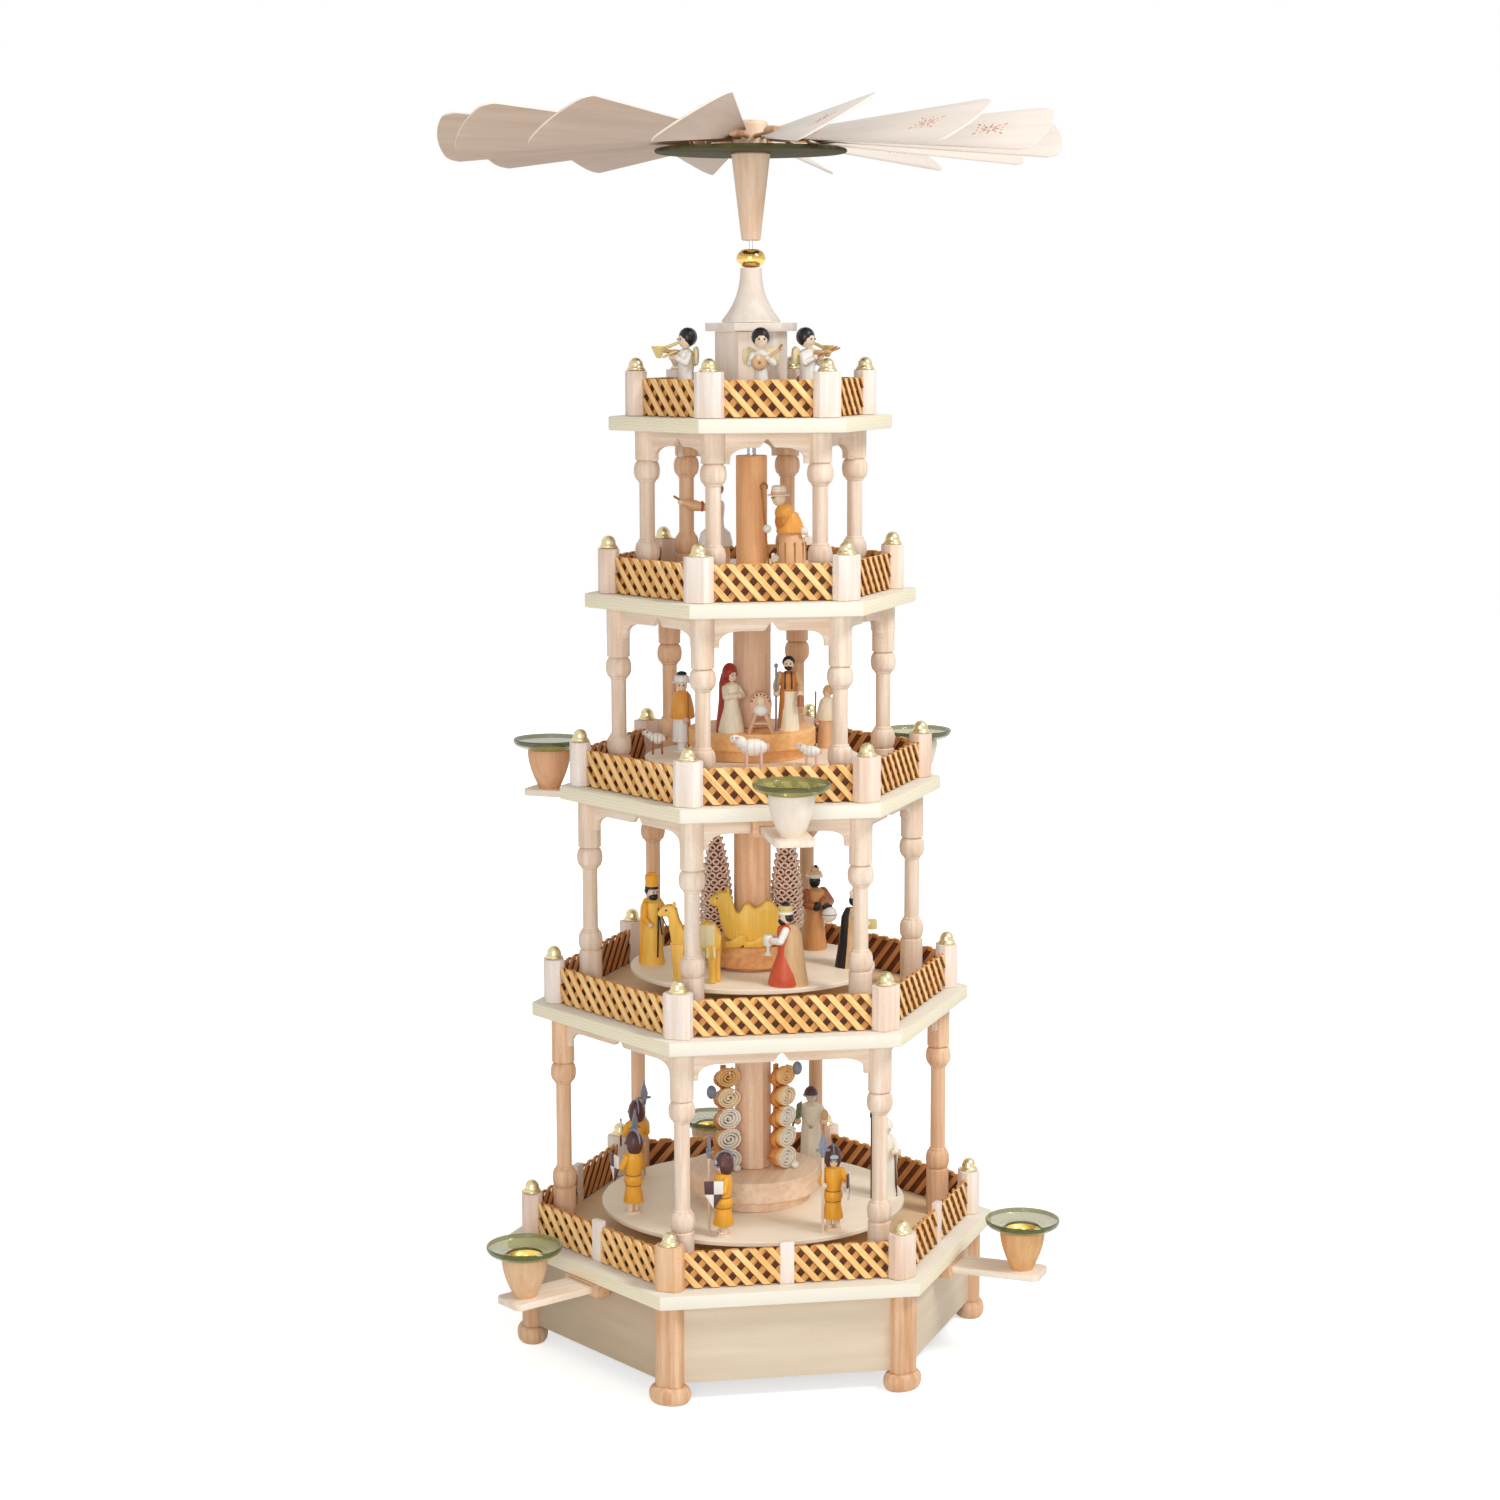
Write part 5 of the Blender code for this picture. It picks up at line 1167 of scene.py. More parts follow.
def scroll(radius, width, turns, steps, materials):
    """A curl of shaving about X, wound from its outer end to the middle: pale faces, stained edges."""
    points = []
    for step in range(steps + 1):
        share = step / steps
        reach = radius - shaving_thickness / 2 - radius * scroll_core_share * share ** 1.35
        angle = 2 * pi * turns * share
        points.append((-width / 2, reach * cos(angle), reach * sin(angle)))
    drawn_line(points)
    bpy.ops.mesh.extrude_region_move(TRANSFORM_OT_translate={"value": (width, 0, 0)})
    curl = finished("scroll", materials[0])
    wall = curl.modifiers.new("wall", "SOLIDIFY")
    wall.thickness = shaving_thickness
    wall.offset = 0
    bpy.ops.object.modifier_apply(modifier=wall.name)
    curl.data.materials.append(materials[1])
    for face in curl.data.polygons:
        outside = face.center.yz.length > radius - 2 * shaving_thickness and abs(face.normal.x) < edge_share
        face.material_index = 1 if outside else 0
    return mark_grain(curl, (0, 1, 0))


curl = scroll(scroll_radius, scroll_width, scroll_turns, scroll_steps, (scroll_pale, scroll_rim))
core_outline = rectangle(-core_half, core_half, 0, scroll_tree_height - core_drop)
core = mark_grain(upright("core", core_outline, core_depth, core_orange, core_edge), (0, 0, 1))
core.data.transform(Matrix.Translation((-1.5 * scroll_width - core_depth / 2, 0, 0)))
parts = [core]
for row, tone in enumerate(scroll_tones):
    height = scroll_radius * scroll_squash + scroll_pitch * row
    mirror = Matrix.Diagonal((1, 1 if row % 2 else -1, 1, 1))
    turn = Matrix.Rotation(0.5 * row, 4, "X")
    layers = ((0, 0, (tone, scroll_rim)), (-scroll_width, scroll_sink, (core_orange, core_orange)))
    for depth, sink, woods in layers:
        seat = max(height - sink, scroll_radius * scroll_squash)
        place = Matrix.Translation((depth, scroll_sway * (row % 2), seat))
        shrink = Matrix.Scale(1 - scroll_taper * row, 4) @ Matrix.Diagonal((1, 1, scroll_squash, 1))
        part = copied(curl, "curl", place @ shrink @ mirror @ turn, 0.1 * row + 0.05)
        for index, tint in enumerate(woods):
            part.data.materials[index] = tint
        parts.append(part)
bpy.data.objects.remove(curl)
parts.append(egg(white, scroll_ball_spot, 3 * (scroll_ball_radius,)))
tree = joined("scroll_tree", parts)
bpy.ops.object.select_all(action="DESELECT")
bpy.context.view_layer.objects.active = tree
bpy.ops.object.mode_set(mode="EDIT")
bpy.ops.mesh.select_all(action="SELECT")
bpy.ops.mesh.normals_make_consistent(inside=False)
bpy.ops.object.mode_set(mode="OBJECT")
for number, (bearing, distance, facing, ball_spot) in enumerate(scroll_tree_places):
    turn = Matrix.Rotation(radians(facing - bearing), 4, "Z")
    place = bearing_frame(bearing, distance, stage_tops[0]) @ turn
    ball = egg(steel_paint, ball_spot, grey_ball_reach)
    ball.data.transform(place)
    tree_copy = joined(f"scroll_tree_{number + 1}", [copied(tree, "tree", place, 0.2 * number + 0.1), ball])
    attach(tree_copy, "rotor")
    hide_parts("riser_1")
bpy.data.objects.remove(tree)


# Camel driver and camels. The driver has a yellow robe, an ochre cape and a tall cap. Both camels are sawn
# from board and carved: one stands on the second disc with a saddle cloth, and one rests on the stage.
driver_height = 0.082
driver_shares = (
    ("spun", camel_yellow, (0, 0, 0), robe_shares(0.135, 0.100, 0.105, 0.72)),
    ("spun", ochre, (-0.045, -0.01, 0), ((0, 0.72), (0.06, 0.71), (0.10, 0.62), (0.11, 0.3), (0.12, 0.02),
                                         (0, 0.02)), (0.75, 1)),
    ("limb", ochre, (0, 0.09, 0.65), (0.06, 0.145, 0.56), 0.046, 0.040),
    ("limb", ochre, (0.06, 0.145, 0.56), (0.22, 0.13, 0.61), 0.040, 0.030),
    ("egg", bare, (0.235, 0.13, 0.615), (0.035, 0.028, 0.028)),
    ("limb", ochre, (0, -0.09, 0.65), (0.04, -0.14, 0.52), 0.046, 0.038),
    ("limb", ochre, (0.04, -0.14, 0.52), (0.12, -0.12, 0.46), 0.038, 0.030),
    ("egg", bare, (0.125, -0.12, 0.455), (0.032, 0.032, 0.032)),
    ("limb", ink, (0.135, -0.03, 0.10), (0.115, 0.0, 0.62), 0.009, 0.009),
    ("limb", ink, (0.15, 0.02, 0.34), (0.115, 0.0, 0.62), 0.008, 0.008),
    *face_shares(0.785, 0.068),
    ("egg", ink, (0.026, 0, 0.74), (0.052, 0.056, 0.045)),
    ("egg", ink, (-0.024, 0, 0.80), (0.062, 0.072, 0.062)),
    ("spun", ink, (0, 0, 0.826), ((0, 0.026), (0.076, 0.026), (0.078, 0), (0, 0))),
    ("spun", ochre, (0, 0, 0.848), ((0, 0.15), (0.045, 0.148), (0.078, 0.12), (0.072, 0.05), (0.072, 0),
                                    (0, 0))))
stand("driver", driver_height, driver_shares, disc_tops[1], ((171.4, 0.0886, -60),), "rotor", "turntable_2")

camel_height = 0.068
camel_body_shares = ((0.36, 0.44), (0.38, 0.60), (0.30, 0.74), (0.18, 0.80), (0.08, 0.74), (-0.02, 0.66),
                     (-0.10, 0.68), (-0.16, 0.80), (-0.20, 0.95), (-0.26, 1.0), (-0.36, 0.98), (-0.44, 0.90),
                     (-0.42, 0.84),
                     (-0.30, 0.85), (-0.29, 0.70), (-0.26, 0.52), (-0.16, 0.40), (0.10, 0.40))
camel_leg_shares = ((-0.075, 0.5), (-0.05, 0.24), (-0.035, 0.05), (-0.055, 0), (0.05, 0), (0.04, 0.05),
                    (0.035, 0.24), (0.06, 0.5))
camel_shares = [("cut", camel_yellow, (0, 0, 0), 90, 0.16, camel_body_shares)]
for forward, side in ((0.15, 0.06), (0.21, -0.06), (-0.26, 0.06), (-0.31, -0.06)):
    camel_shares.append(("cut", camel_yellow, (forward, side, 0), 90, 0.075, camel_leg_shares))
camel_shares += [("cut", saddle_yellow, (-0.20, 0, 0.45), 90, 0.185, rectangle(-0.10, 0.10, 0, 0.31)),
                 ("limb", saddle_yellow, (-0.12, 0.098, 0.46), (-0.11, 0.102, 0.35), 0.014, 0.020),
                 ("limb", saddle_yellow, (-0.20, 0.098, 0.46), (-0.20, 0.102, 0.35), 0.014, 0.020),
                 ("limb", saddle_yellow, (-0.28, 0.098, 0.46), (-0.29, 0.102, 0.35), 0.014, 0.020),
                 ("limb", umber, (-0.37, 0, 0.62), (-0.42, 0, 0.40), 0.014, 0.022),
                 ("limb", ink, (0.40, 0.03, 0.88), (0.30, 0.085, 0.70), 0.008, 0.008),
                 ("egg", camel_yellow, (0.22, 0.05, 1.0), (0.025, 0.02, 0.045)),
                 ("egg", ink, (0.32, 0.082, 0.93), (0.014, 0.006, 0.014)),
                 ("egg", ink, (0.32, -0.082, 0.93), (0.014, 0.006, 0.014))]
stand("camel", camel_height, camel_shares, disc_tops[1], ((-134, 0.091, 165),), "rotor", "turntable_2")

resting_height = 0.049
resting_shares = ((0.60, 0.02), (0.66, 0.16), (0.66, 0.42), (0.60, 0.66), (0.50, 0.80), (0.38, 0.84),
                  (0.28, 0.74),
                  (0.18, 0.68), (0.08, 0.78), (-0.02, 0.76), (-0.10, 0.60), (-0.16, 0.62), (-0.20, 0.76),
                  (-0.24, 0.92),
                  (-0.32, 1.0), (-0.44, 0.99), (-0.62, 0.88), (-0.65, 0.78), (-0.50, 0.74), (-0.46, 0.60),
                  (-0.42, 0.36), (-0.34, 0.18), (-0.16, 0.08), (0.2, 0.04))
resting_leg_shares = ((-0.44, 0), (-0.10, 0), (0.04, 0.10), (0.02, 0.22), (-0.10, 0.24), (-0.26, 0.12),
                      (-0.46, 0.10))
resting_camel_shares = [("cut", resting_yellow, (0, 0, 0), 90, 0.22, resting_shares)]
for side in (-1, 1):
    for forward in (0, -0.42):
        place = (forward, side * 0.12, 0)
        resting_camel_shares.append(("cut", resting_yellow, place, 90, 0.09, resting_leg_shares))
    resting_camel_shares.append(("egg", ink, (0.50, side * 0.112, 0.89), (0.016, 0.008, 0.016)))
    resting_camel_shares.append(("egg", resting_yellow, (0.30, side * 0.07, 1.01), (0.03, 0.022, 0.06)))
stand("resting_camel", resting_height, resting_camel_shares, stage_tops[1], ((-112, 0.030, 172),), "rotor",
      "riser_2")


# Kings of the second disc. A red robe and a white goblet, a dark face with a turban and two vessels, and a
# long cape edged in black.
king_height, dark_king_height = 0.072, 0.077
crown_shares = ((0, 0.09), (0.05, 0.085), (0.082, 0.08), (0.092, 0.06), (0.082, 0.03), (0.084, 0), (0, 0))
goblet_shares = ((0, 0.24), (0.05, 0.24), (0.066, 0.20), (0.056, 0.12), (0.018, 0.085), (0.018, 0.04),
                 (0.052, 0.014), (0.052, 0), (0, 0))
cape_shares = ((0, 0.74), (0.06, 0.73), (0.115, 0.62), (0.15, 0.3), (0.20, 0), (0, 0))
red_king_shares = (
    ("spun", robe_red, (0, 0, 0), robe_shares(0.21, 0.088, 0.105, 0.74)),
    ("spun", cape_tan, (-0.075, 0, 0), cape_shares, (1.0, 0.90)),
    *arms_shares(white, (0, 0.10, 0.67), (0.06, 0.145, 0.55), (0.16, 0.06, 0.54), 0.048),
    ("spun", white, (0.205, 0, 0.36), goblet_shares),
    *face_shares(0.81, 0.080),
    ("egg", ink, (0.03, 0, 0.765), (0.062, 0.064, 0.048)),
    ("egg", ink, (-0.026, 0, 0.82), (0.072, 0.082, 0.072)),
    ("spun", white, (0, 0, 0.855), ((0, 0.03), (0.086, 0.03), (0.09, 0.015), (0.086, 0), (0, 0))),
    ("spun", gold_paint, (0, 0, 0.875), crown_shares),
    ("dome", ink, (0, 0, 0.945), (0.056, 0.056, 0.062)))
dark_king_shares = (
    ("spun", king_brown, (0, 0, 0), robe_shares(0.15, 0.10, 0.125, 0.74)),
    ("spun", cape_tan, (-0.045, 0, 0), cape_shares, (0.9, 0.75)),
    *arms_shares(copper_paint, (0, 0.115, 0.67), (0.06, 0.17, 0.56), (0.14, 0.06, 0.53), 0.060, ink),
    *face_shares(0.81, 0.078, ink),
    ("egg", white, (0, 0, 0.87), (0.104, 0.104, 0.038)),
    ("egg", gold_paint, (0, 0, 0.905), (0.09, 0.09, 0.034)),
    ("egg", rose, (0, 0, 0.945), (0.06, 0.06, 0.05)),
    ("egg", ink, (0.03, 0, 0.975), (0.022, 0.022, 0.032)),
    ("egg", copper_paint, (0.10, 0.06, 0.55), (0.085, 0.085, 0.10)),
    ("egg", white, (0.17, 0.10, 0.43), (0.095, 0.095, 0.095)),
    ("egg", ink, (0.17, 0.10, 0.43), (0.098, 0.098, 0.020)),
    ("egg", ink, (0.17, 0.10, 0.53), (0.04, 0.04, 0.016)))
caped_king_shares = (
    ("spun", cape_tan, (0, 0, 0), robe_shares(0.15, 0.09, 0.105, 0.74)),
    ("spun", cape_tan, (-0.045, 0, 0), cape_shares, (0.92, 0.90)),
    ("spun", ink, (-0.078, 0, 0), cape_shares, (0.95, 0.86)),
    *arms_shares(cream, (0, 0.10, 0.67), (0.06, 0.14, 0.56), (0.15, 0.06, 0.55), 0.044),
    ("spun", gold_paint, (0.19, 0, 0.48), ((0, 0.12), (0.06, 0.115), (0.066, 0.065), (0.066, 0), (0, 0))),
    *face_shares(0.81, 0.078),
    ("egg", ink, (-0.026, 0, 0.82), (0.070, 0.080, 0.072)),
    ("spun", white, (0, 0, 0.86), crown_shares),
    ("dome", gold_paint, (0, 0, 0.935), (0.06, 0.06, 0.062)))
stand("red_king", king_height, red_king_shares, disc_tops[1], ((-81.1, 0.090, 170),), "rotor", "turntable_2")
stand("dark_king", dark_king_height, dark_king_shares, disc_tops[1], ((38, 0.083, -70),), "rotor",
      "turntable_2")
stand("caped_king", king_height, caped_king_shares, disc_tops[1], ((-18.8, 0.0925, -22),), "rotor",
      "turntable_2")


# Ring trees of the second stage. Rows of small curled rings on a stained core, each row a little narrower
# than the last.
ring_tree_height, ring_tree_radius, ring_taper = 0.098, 0.0152, 2.4
ring_rows, ring_radius, ring_wire = 15, 0.0036, 0.0009
ring_tree_foot, ring_tree_peak, ring_tilt = 0.011, 0.003, 0.35
ring_inset, ring_tip_radius = 0.0015, 0.003
core_peak, core_shoulder, core_neck_radius = 0.004, 0.008, 0.0025
core_upper_radius, core_middle_inset, core_lower_inset = 0.0058, 0.0052, 0.0045
core_lower_height, trunk_height, trunk_radius = 0.012, 0.008, 0.003
ring_profile = rounded(0, ring_wire, ring_wire, 0, 360, 5, core=ring_radius - ring_wire)
ring = mark_grain(turned("ring", ring_profile, 9, ring_rose), (0, 0, 1))
ring.data.transform(along_stick)
core_profile = [(0, ring_tree_height - core_peak), (core_neck_radius, ring_tree_height - core_shoulder),
                (core_upper_radius, ring_tree_height * 0.8),
                (ring_tree_radius - core_middle_inset, ring_tree_height * 0.55),
                (ring_tree_radius - core_lower_inset, core_lower_height), (trunk_radius, trunk_height),
                (trunk_radius, 0), (0, 0)]
parts = [mark_grain(turned("core", core_profile, 16, core_brown), (0, 0, 1))]
for row in range(ring_rows):
    share = row / (ring_rows - 1)
    narrowing = (ring_tree_radius - ring_inset - ring_tip_radius) * share ** ring_taper
    reach = ring_tree_radius - ring_inset - narrowing
    height = ring_tree_foot + (ring_tree_height - ring_tree_foot - ring_tree_peak) * share
    count = max(5, int(2 * pi * reach / (2 * ring_radius) * 1.15))
    for number in range(count):
        bearing = 360 * (number + 0.5 * (row % 2)) / count
        place = bearing_frame(bearing, reach, height) @ Matrix.Rotation(ring_tilt, 4, "Y")
        parts.append(copied(ring, "ring", place))
bpy.data.objects.remove(ring)
tree = joined("ring_tree", parts)
for number, (bearing, distance) in enumerate(((170.6, 0.0318), (17, 0.0338))):
    tree_copy = copied(tree, f"ring_tree_{number + 1}", bearing_frame(bearing, distance, stage_tops[1]),
                       0.2 * number + 0.1)
    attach(tree_copy, "rotor")
    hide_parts("riser_2")
bpy.data.objects.remove(tree)


# Holy family of the third stage. A mother in cream with a long red veil, a father in an orange tunic with
# lantern and staff, and between them a swaddled child in a crib on crossed legs.
mother_height, father_height, crib_height = 0.060, 0.066, 0.036
mother_shares = (
    ("spun", cream, (0, 0, 0), robe_shares(0.195, 0.105, 0.12, 0.73)),
    *arms_shares(cream, (0, 0.11, 0.64), (0.07, 0.15, 0.52), (0.145, 0.03, 0.54), 0.048),
    *face_shares(0.815, 0.088),
    ("egg", veil_red, (-0.034, 0, 0.85), (0.105, 0.118, 0.15)),
    ("spun", veil_red, (-0.095, 0, 0), ((0, 0.86), (0.09, 0.84), (0.125, 0.70), (0.13, 0.45), (0.17, 0.1),
                                        (0.175, 0), (0, 0)),
     (0.85, 1)))
father_shares = (
    ("spun", cream, (0, 0, 0), ((0, 0.56), (0.10, 0.56), (0.105, 0.40), (0.145, 0.02), (0.142, 0), (0, 0))),
    ("spun", tunic_orange, (0, -0.03, 0), ((0, 0.55), (0.085, 0.55), (0.09, 0.40), (0.12, 0.02), (0, 0.01)),
     (1.05, 1)),
    ("spun", tunic_orange, (0, 0, 0), ((0, 0.79), (0.045, 0.78), (0.10, 0.745), (0.115, 0.66), (0.108, 0.52),
                                       (0, 0.52))),
    *arms_shares(cape_tan, (0, 0.115, 0.73), (0.03, 0.16, 0.60), (0.09, 0.155, 0.49), 0.048),
    *face_shares(0.87, 0.078),
    ("egg", ink, (-0.024, 0, 0.895), (0.080, 0.088, 0.085)),
    ("egg", ink, (0.032, 0, 0.825), (0.054, 0.056, 0.034)),
    ("limb", ink, (0.088, 0.04, 0.775), (0.112, 0.045, 0.56), 0.011, 0.011),
    ("limb", ink, (0.088, -0.04, 0.775), (0.112, -0.045, 0.56), 0.011, 0.011),
    ("spun", copper_paint, (0.11, 0.16, 0.33), ((0, 0.15), (0.026, 0.145), (0.044, 0.11), (0.044, 0.025),
                                                (0.052, 0), (0, 0))),
    ("limb", steel_paint, (0.12, -0.16, 0.0), (0.11, -0.16, 0.84), 0.015, 0.015),
    ("egg", steel_paint, (0.11, -0.16, 0.86), (0.028, 0.028, 0.034)))
crib_round_shares = [(0.27 * cos(radians(angle)), 0.72 + 0.28 * sin(radians(angle)))
                     for angle in range(0, 181, 20)]
crib_shares = [("cut", crib_tan, (0, 0, 0), 0, 0.34, [*crib_round_shares, (-0.24, 0.44), (0.24, 0.44)]),
               ("egg", bare, (0.17, 0, 0.78), (0.10, 0.12, 0.13)),
               ("egg", white, (0.15, 0, 0.56), (0.12, 0.17, 0.14))]
for forward in (-0.12, 0.12):
    for side in (-1, 1):
        crib_shares.append(("limb", crib_tan, (forward, side * 0.27, 0.03), (forward, side * 0.10, 0.50),
                            0.05, 0.05))
    crib_shares.append(("limb", crib_tan, (forward, -0.2, 0.24), (forward, 0.2, 0.24), 0.035, 0.035))
for angle in range(15, 166, 25):
    spot = (0.165, 0.215 * cos(radians(angle)), 0.73 + 0.215 * sin(radians(angle)))
    crib_shares.append(("egg", helmet_brown, spot, (0.02, 0.022, 0.022)))
stand("mother", mother_height, mother_shares, stage_tops[2], ((-125.3, 0.041, -62),), "rotor", "riser_3")
stand("father", father_height, father_shares, stage_tops[2], ((-47.0, 0.040, -102),), "rotor", "riser_3")
stand("crib", crib_height, crib_shares, stage_tops[2], ((-89.6, 0.043, -98),), "rotor", "riser_3")


# Sheep and shepherds of the third disc. The sheep are white with rose stripes and legs, and a lamb with brown
# ones stands by itself. One shepherd has a wide hat and an orange cape over a white coat, the other a cream
# cape over a tan robe.
sheep_length, small_sheep_length, brown_lamb_length = 0.032, 0.021, 0.0205


def sheep_shares(fleece, stripe, leg_share=1.0):
    """An animal that looks along X: fleece with stripes, four legs, and a head with ears."""
    lift = 0.42 * (leg_share - 1)
    rows = [("egg", fleece, (-0.05, 0, 0.55 + lift), (0.38, 0.21, 0.24)),
            ("egg", fleece, (0.29, 0, 0.69 + lift), (0.16, 0.13, 0.17)),
            ("egg", fleece, (0.44, 0, 0.78 + lift), (0.16, 0.105, 0.12)),
            ("egg", stripe, (-0.43, 0, 0.56 + lift), (0.05, 0.045, 0.11))]
    for place in (-0.24, -0.06, 0.12):
        swell = (1 - ((place + 0.05) / 0.38) ** 2) ** 0.5
        rows.append(("egg", stripe, (place, 0, 0.55 + lift), (0.032, 0.216 * swell, 0.246 * swell)))
    for side in (-1, 1):
        rows += [("limb", stripe, (-0.24, side * 0.115, 0.44 + lift), (-0.25, side * 0.115, 0.03), 0.05,
                  0.042),
                 ("limb", stripe, (0.14, side * 0.115, 0.44 + lift), (0.15, side * 0.115, 0.03), 0.05, 0.042),
                 ("egg", stripe, (0.39, side * 0.12, 0.83 + lift), (0.055, 0.05, 0.03)),
                 ("egg", ink, (0.51, side * 0.08, 0.82 + lift), (0.02, 0.016, 0.02))]
    return rows


stand("sheep", sheep_length, sheep_shares(white, rose), disc_tops[2], ((-99.6, 0.075, 172),), "rotor",
      "turntable_3")
stand("small_sheep", small_sheep_length, sheep_shares(white, rose), disc_tops[2], ((-59, 0.0765, 168),),
      "rotor", "turntable_3")
stand("brown_lamb", brown_lamb_length, sheep_shares(white, copper_paint, 1.3), disc_tops[2],
      ((165, 0.0845, 172),),
      "rotor", "turntable_3")

shepherd_height, second_shepherd_height = 0.069, 0.058
bell_shares = ((0, 0.80), (0.05, 0.79), (0.115, 0.73), (0.152, 0.58), (0.166, 0.45), (0.155, 0.43), (0, 0.45))
hat_brim_shares = ((0, 0.024), (0.09, 0.022), (0.130, 0.012), (0.133, 0.004), (0.125, 0), (0, 0))
hat_crown_shares = ((0, 0.09), (0.07, 0.086), (0.092, 0.07), (0.096, 0), (0, 0))
shepherd_shares = (
    ("spun", white, (0, 0, 0), ((0, 0.47), (0.11, 0.47), (0.118, 0.25), (0.126, 0.13), (0.06, 0.11),
                                (0.06, 0.02), (0.11, 0.015),
                               (0.11, 0), (0, 0))),
    ("spun", cape_orange, (0, 0, 0), bell_shares),
    *face_shares(0.845, 0.076),
    ("spun", white, (0, 0, 0.885), hat_brim_shares),
    ("spun", white, (0, 0, 0.90), hat_crown_shares),
    ("egg", ink, (0, 0, 1.0), (0.068, 0.068, 0.034)),
    ("egg", rose, (0.155, 0.06, 0.42), (0.042, 0.042, 0.042)),
    ("limb", umber, (0.17, 0.09, 0.0), (0.16, 0.08, 0.78), 0.013, 0.013))
second_shepherd_shares = (
    ("spun", robe_tan, (0, 0, 0), ((0, 0.5), (0.12, 0.5), (0.14, 0.3), (0.155, 0), (0, 0))),
    ("spun", cream, (0, 0, 0), bell_shares),
    *face_shares(0.855, 0.076),
    ("egg", cape_tan, (-0.020, 0, 0.885), (0.086, 0.09, 0.085)),
    ("egg", rose, (0.155, -0.06, 0.42), (0.042, 0.042, 0.042)),
    ("limb", umber, (0.17, -0.09, 0.0), (0.16, -0.08, 0.86), 0.013, 0.013))
stand("shepherd", shepherd_height, shepherd_shares, disc_tops[2], ((148, 0.067, -100),), "rotor",
      "turntable_3")
stand("second_shepherd", second_shepherd_height, second_shepherd_shares, disc_tops[2], ((25.7, 0.082, -160),),
      "rotor",
      "turntable_3")


# Herdsman, his mate and a lamb on the fourth disc. The herdsman leans forward in a straw hat and an orange
# cape, with a crook; the mate wears white and stretches an arm out.
herdsman_height, player_height, lamb_length = 0.070, 0.072, 0.016
herdsman_lean = 0.17
crook = [(0.325 + 0.045 * cos(radians(angle)), -0.10, 0.98 + 0.045 * sin(radians(angle)))
         for angle in range(-20, 201, 44)]
herdsman_shares = [
    ("spun", robe_tan, (0, 0, 0), ((0, 0.44), (0.13, 0.42), (0.175, 0.25), (0.18, 0.06), (0.165, 0), (0, 0))),
    ("spun", cape_orange, (0.02, 0, 0), ((0, 0.70), (0.10, 0.66), (0.158, 0.54), (0.168, 0.43), (0.155, 0.41),
                                         (0, 0.42))),
    ("egg", cape_orange, (0.09, 0, 0.66), (0.125, 0.115, 0.12)),
    ("egg", tunic_orange, (0.11, 0, 0.56), (0.10, 0.12, 0.14)),
    *[(kind, material, (place[0] + herdsman_lean, *place[1:]), *rest)
      for kind, material, place, *rest in face_shares(0.84, 0.088)],
    ("spun", cream, (herdsman_lean, 0, 0.875), hat_brim_shares, (1.05, 1.05)),
    ("spun", rose, (herdsman_lean, 0, 0.89), ((0, 0.034), (0.098, 0.034), (0.100, 0), (0, 0))),
    ("spun", cream, (herdsman_lean, 0, 0.92), ((0, 0.085), (0.066, 0.08), (0.088, 0.064), (0.094, 0),
                                               (0, 0))),
    ("egg", white, (0.30, -0.06, 0.47), (0.052, 0.052, 0.052)),
    ("egg", white, (-0.10, 0.16, 0.44), (0.052, 0.052, 0.052)),
    ("limb", umber, (0.26, -0.10, 0.02), (crook[0][0] - 0.01, -0.10, 0.96), 0.012, 0.012)]
for start, end in zip(crook, crook[1:]):
    herdsman_shares.append(("limb", umber, start, end, 0.014, 0.014))
for angle in range(0, 360, 40):
    spot = (0.178 * cos(radians(angle)), 0.178 * sin(radians(angle)))
    herdsman_shares.append(("limb", umber, (*spot, 0.30), (spot[0] * 0.96, spot[1] * 0.96, 0.04), 0.009,
                            0.009))
player_shares = (
    ("spun", robe_tan, (0, 0, 0), ((0, 0.24), (0.13, 0.24), (0.15, 0.12), (0.145, 0), (0, 0)), (1.2, 1)),
    ("spun", white, (0, 0, 0.20), robe_shares(0.21, 0.10, 0.115, 0.58)),
    *arms_shares(white, (0, 0.10, 0.71), (-0.02, 0.19, 0.60), (0.06, 0.15, 0.50), 0.048),
    *face_shares(0.86, 0.078),
    ("egg", umber, (-0.024, 0, 0.89), (0.080, 0.088, 0.080)),
    ("limb", robe_tan, (0.14, 0, 0.67), (0.26, 0, 0.69), 0.050, 0.070),
    ("limb", robe_tan, (0.26, 0, 0.69), (0.38, 0, 0.725), 0.070, 0.042),
    ("egg", copper_paint, (0.16, 0, 0.68), (0.035, 0.062, 0.066)),
    ("egg", bare, (0.42, 0, 0.73), (0.040, 0.036, 0.036)),
    ("limb", umber, (0.42, 0, 0.75), (0.50, 0, 0.80), 0.014, 0.014))
stand("herdsman", herdsman_height, herdsman_shares, disc_tops[3], ((-32, 0.037, -165),), "rotor",
      "turntable_4")
stand("horn_player", player_height, player_shares, disc_tops[3], ((122, 0.048, 172),), "rotor", "turntable_4")
stand("lamb", lamb_length, sheep_shares(white, leg_brown), disc_tops[3], ((-74, 0.046, -110),), "rotor",
      "turntable_4")


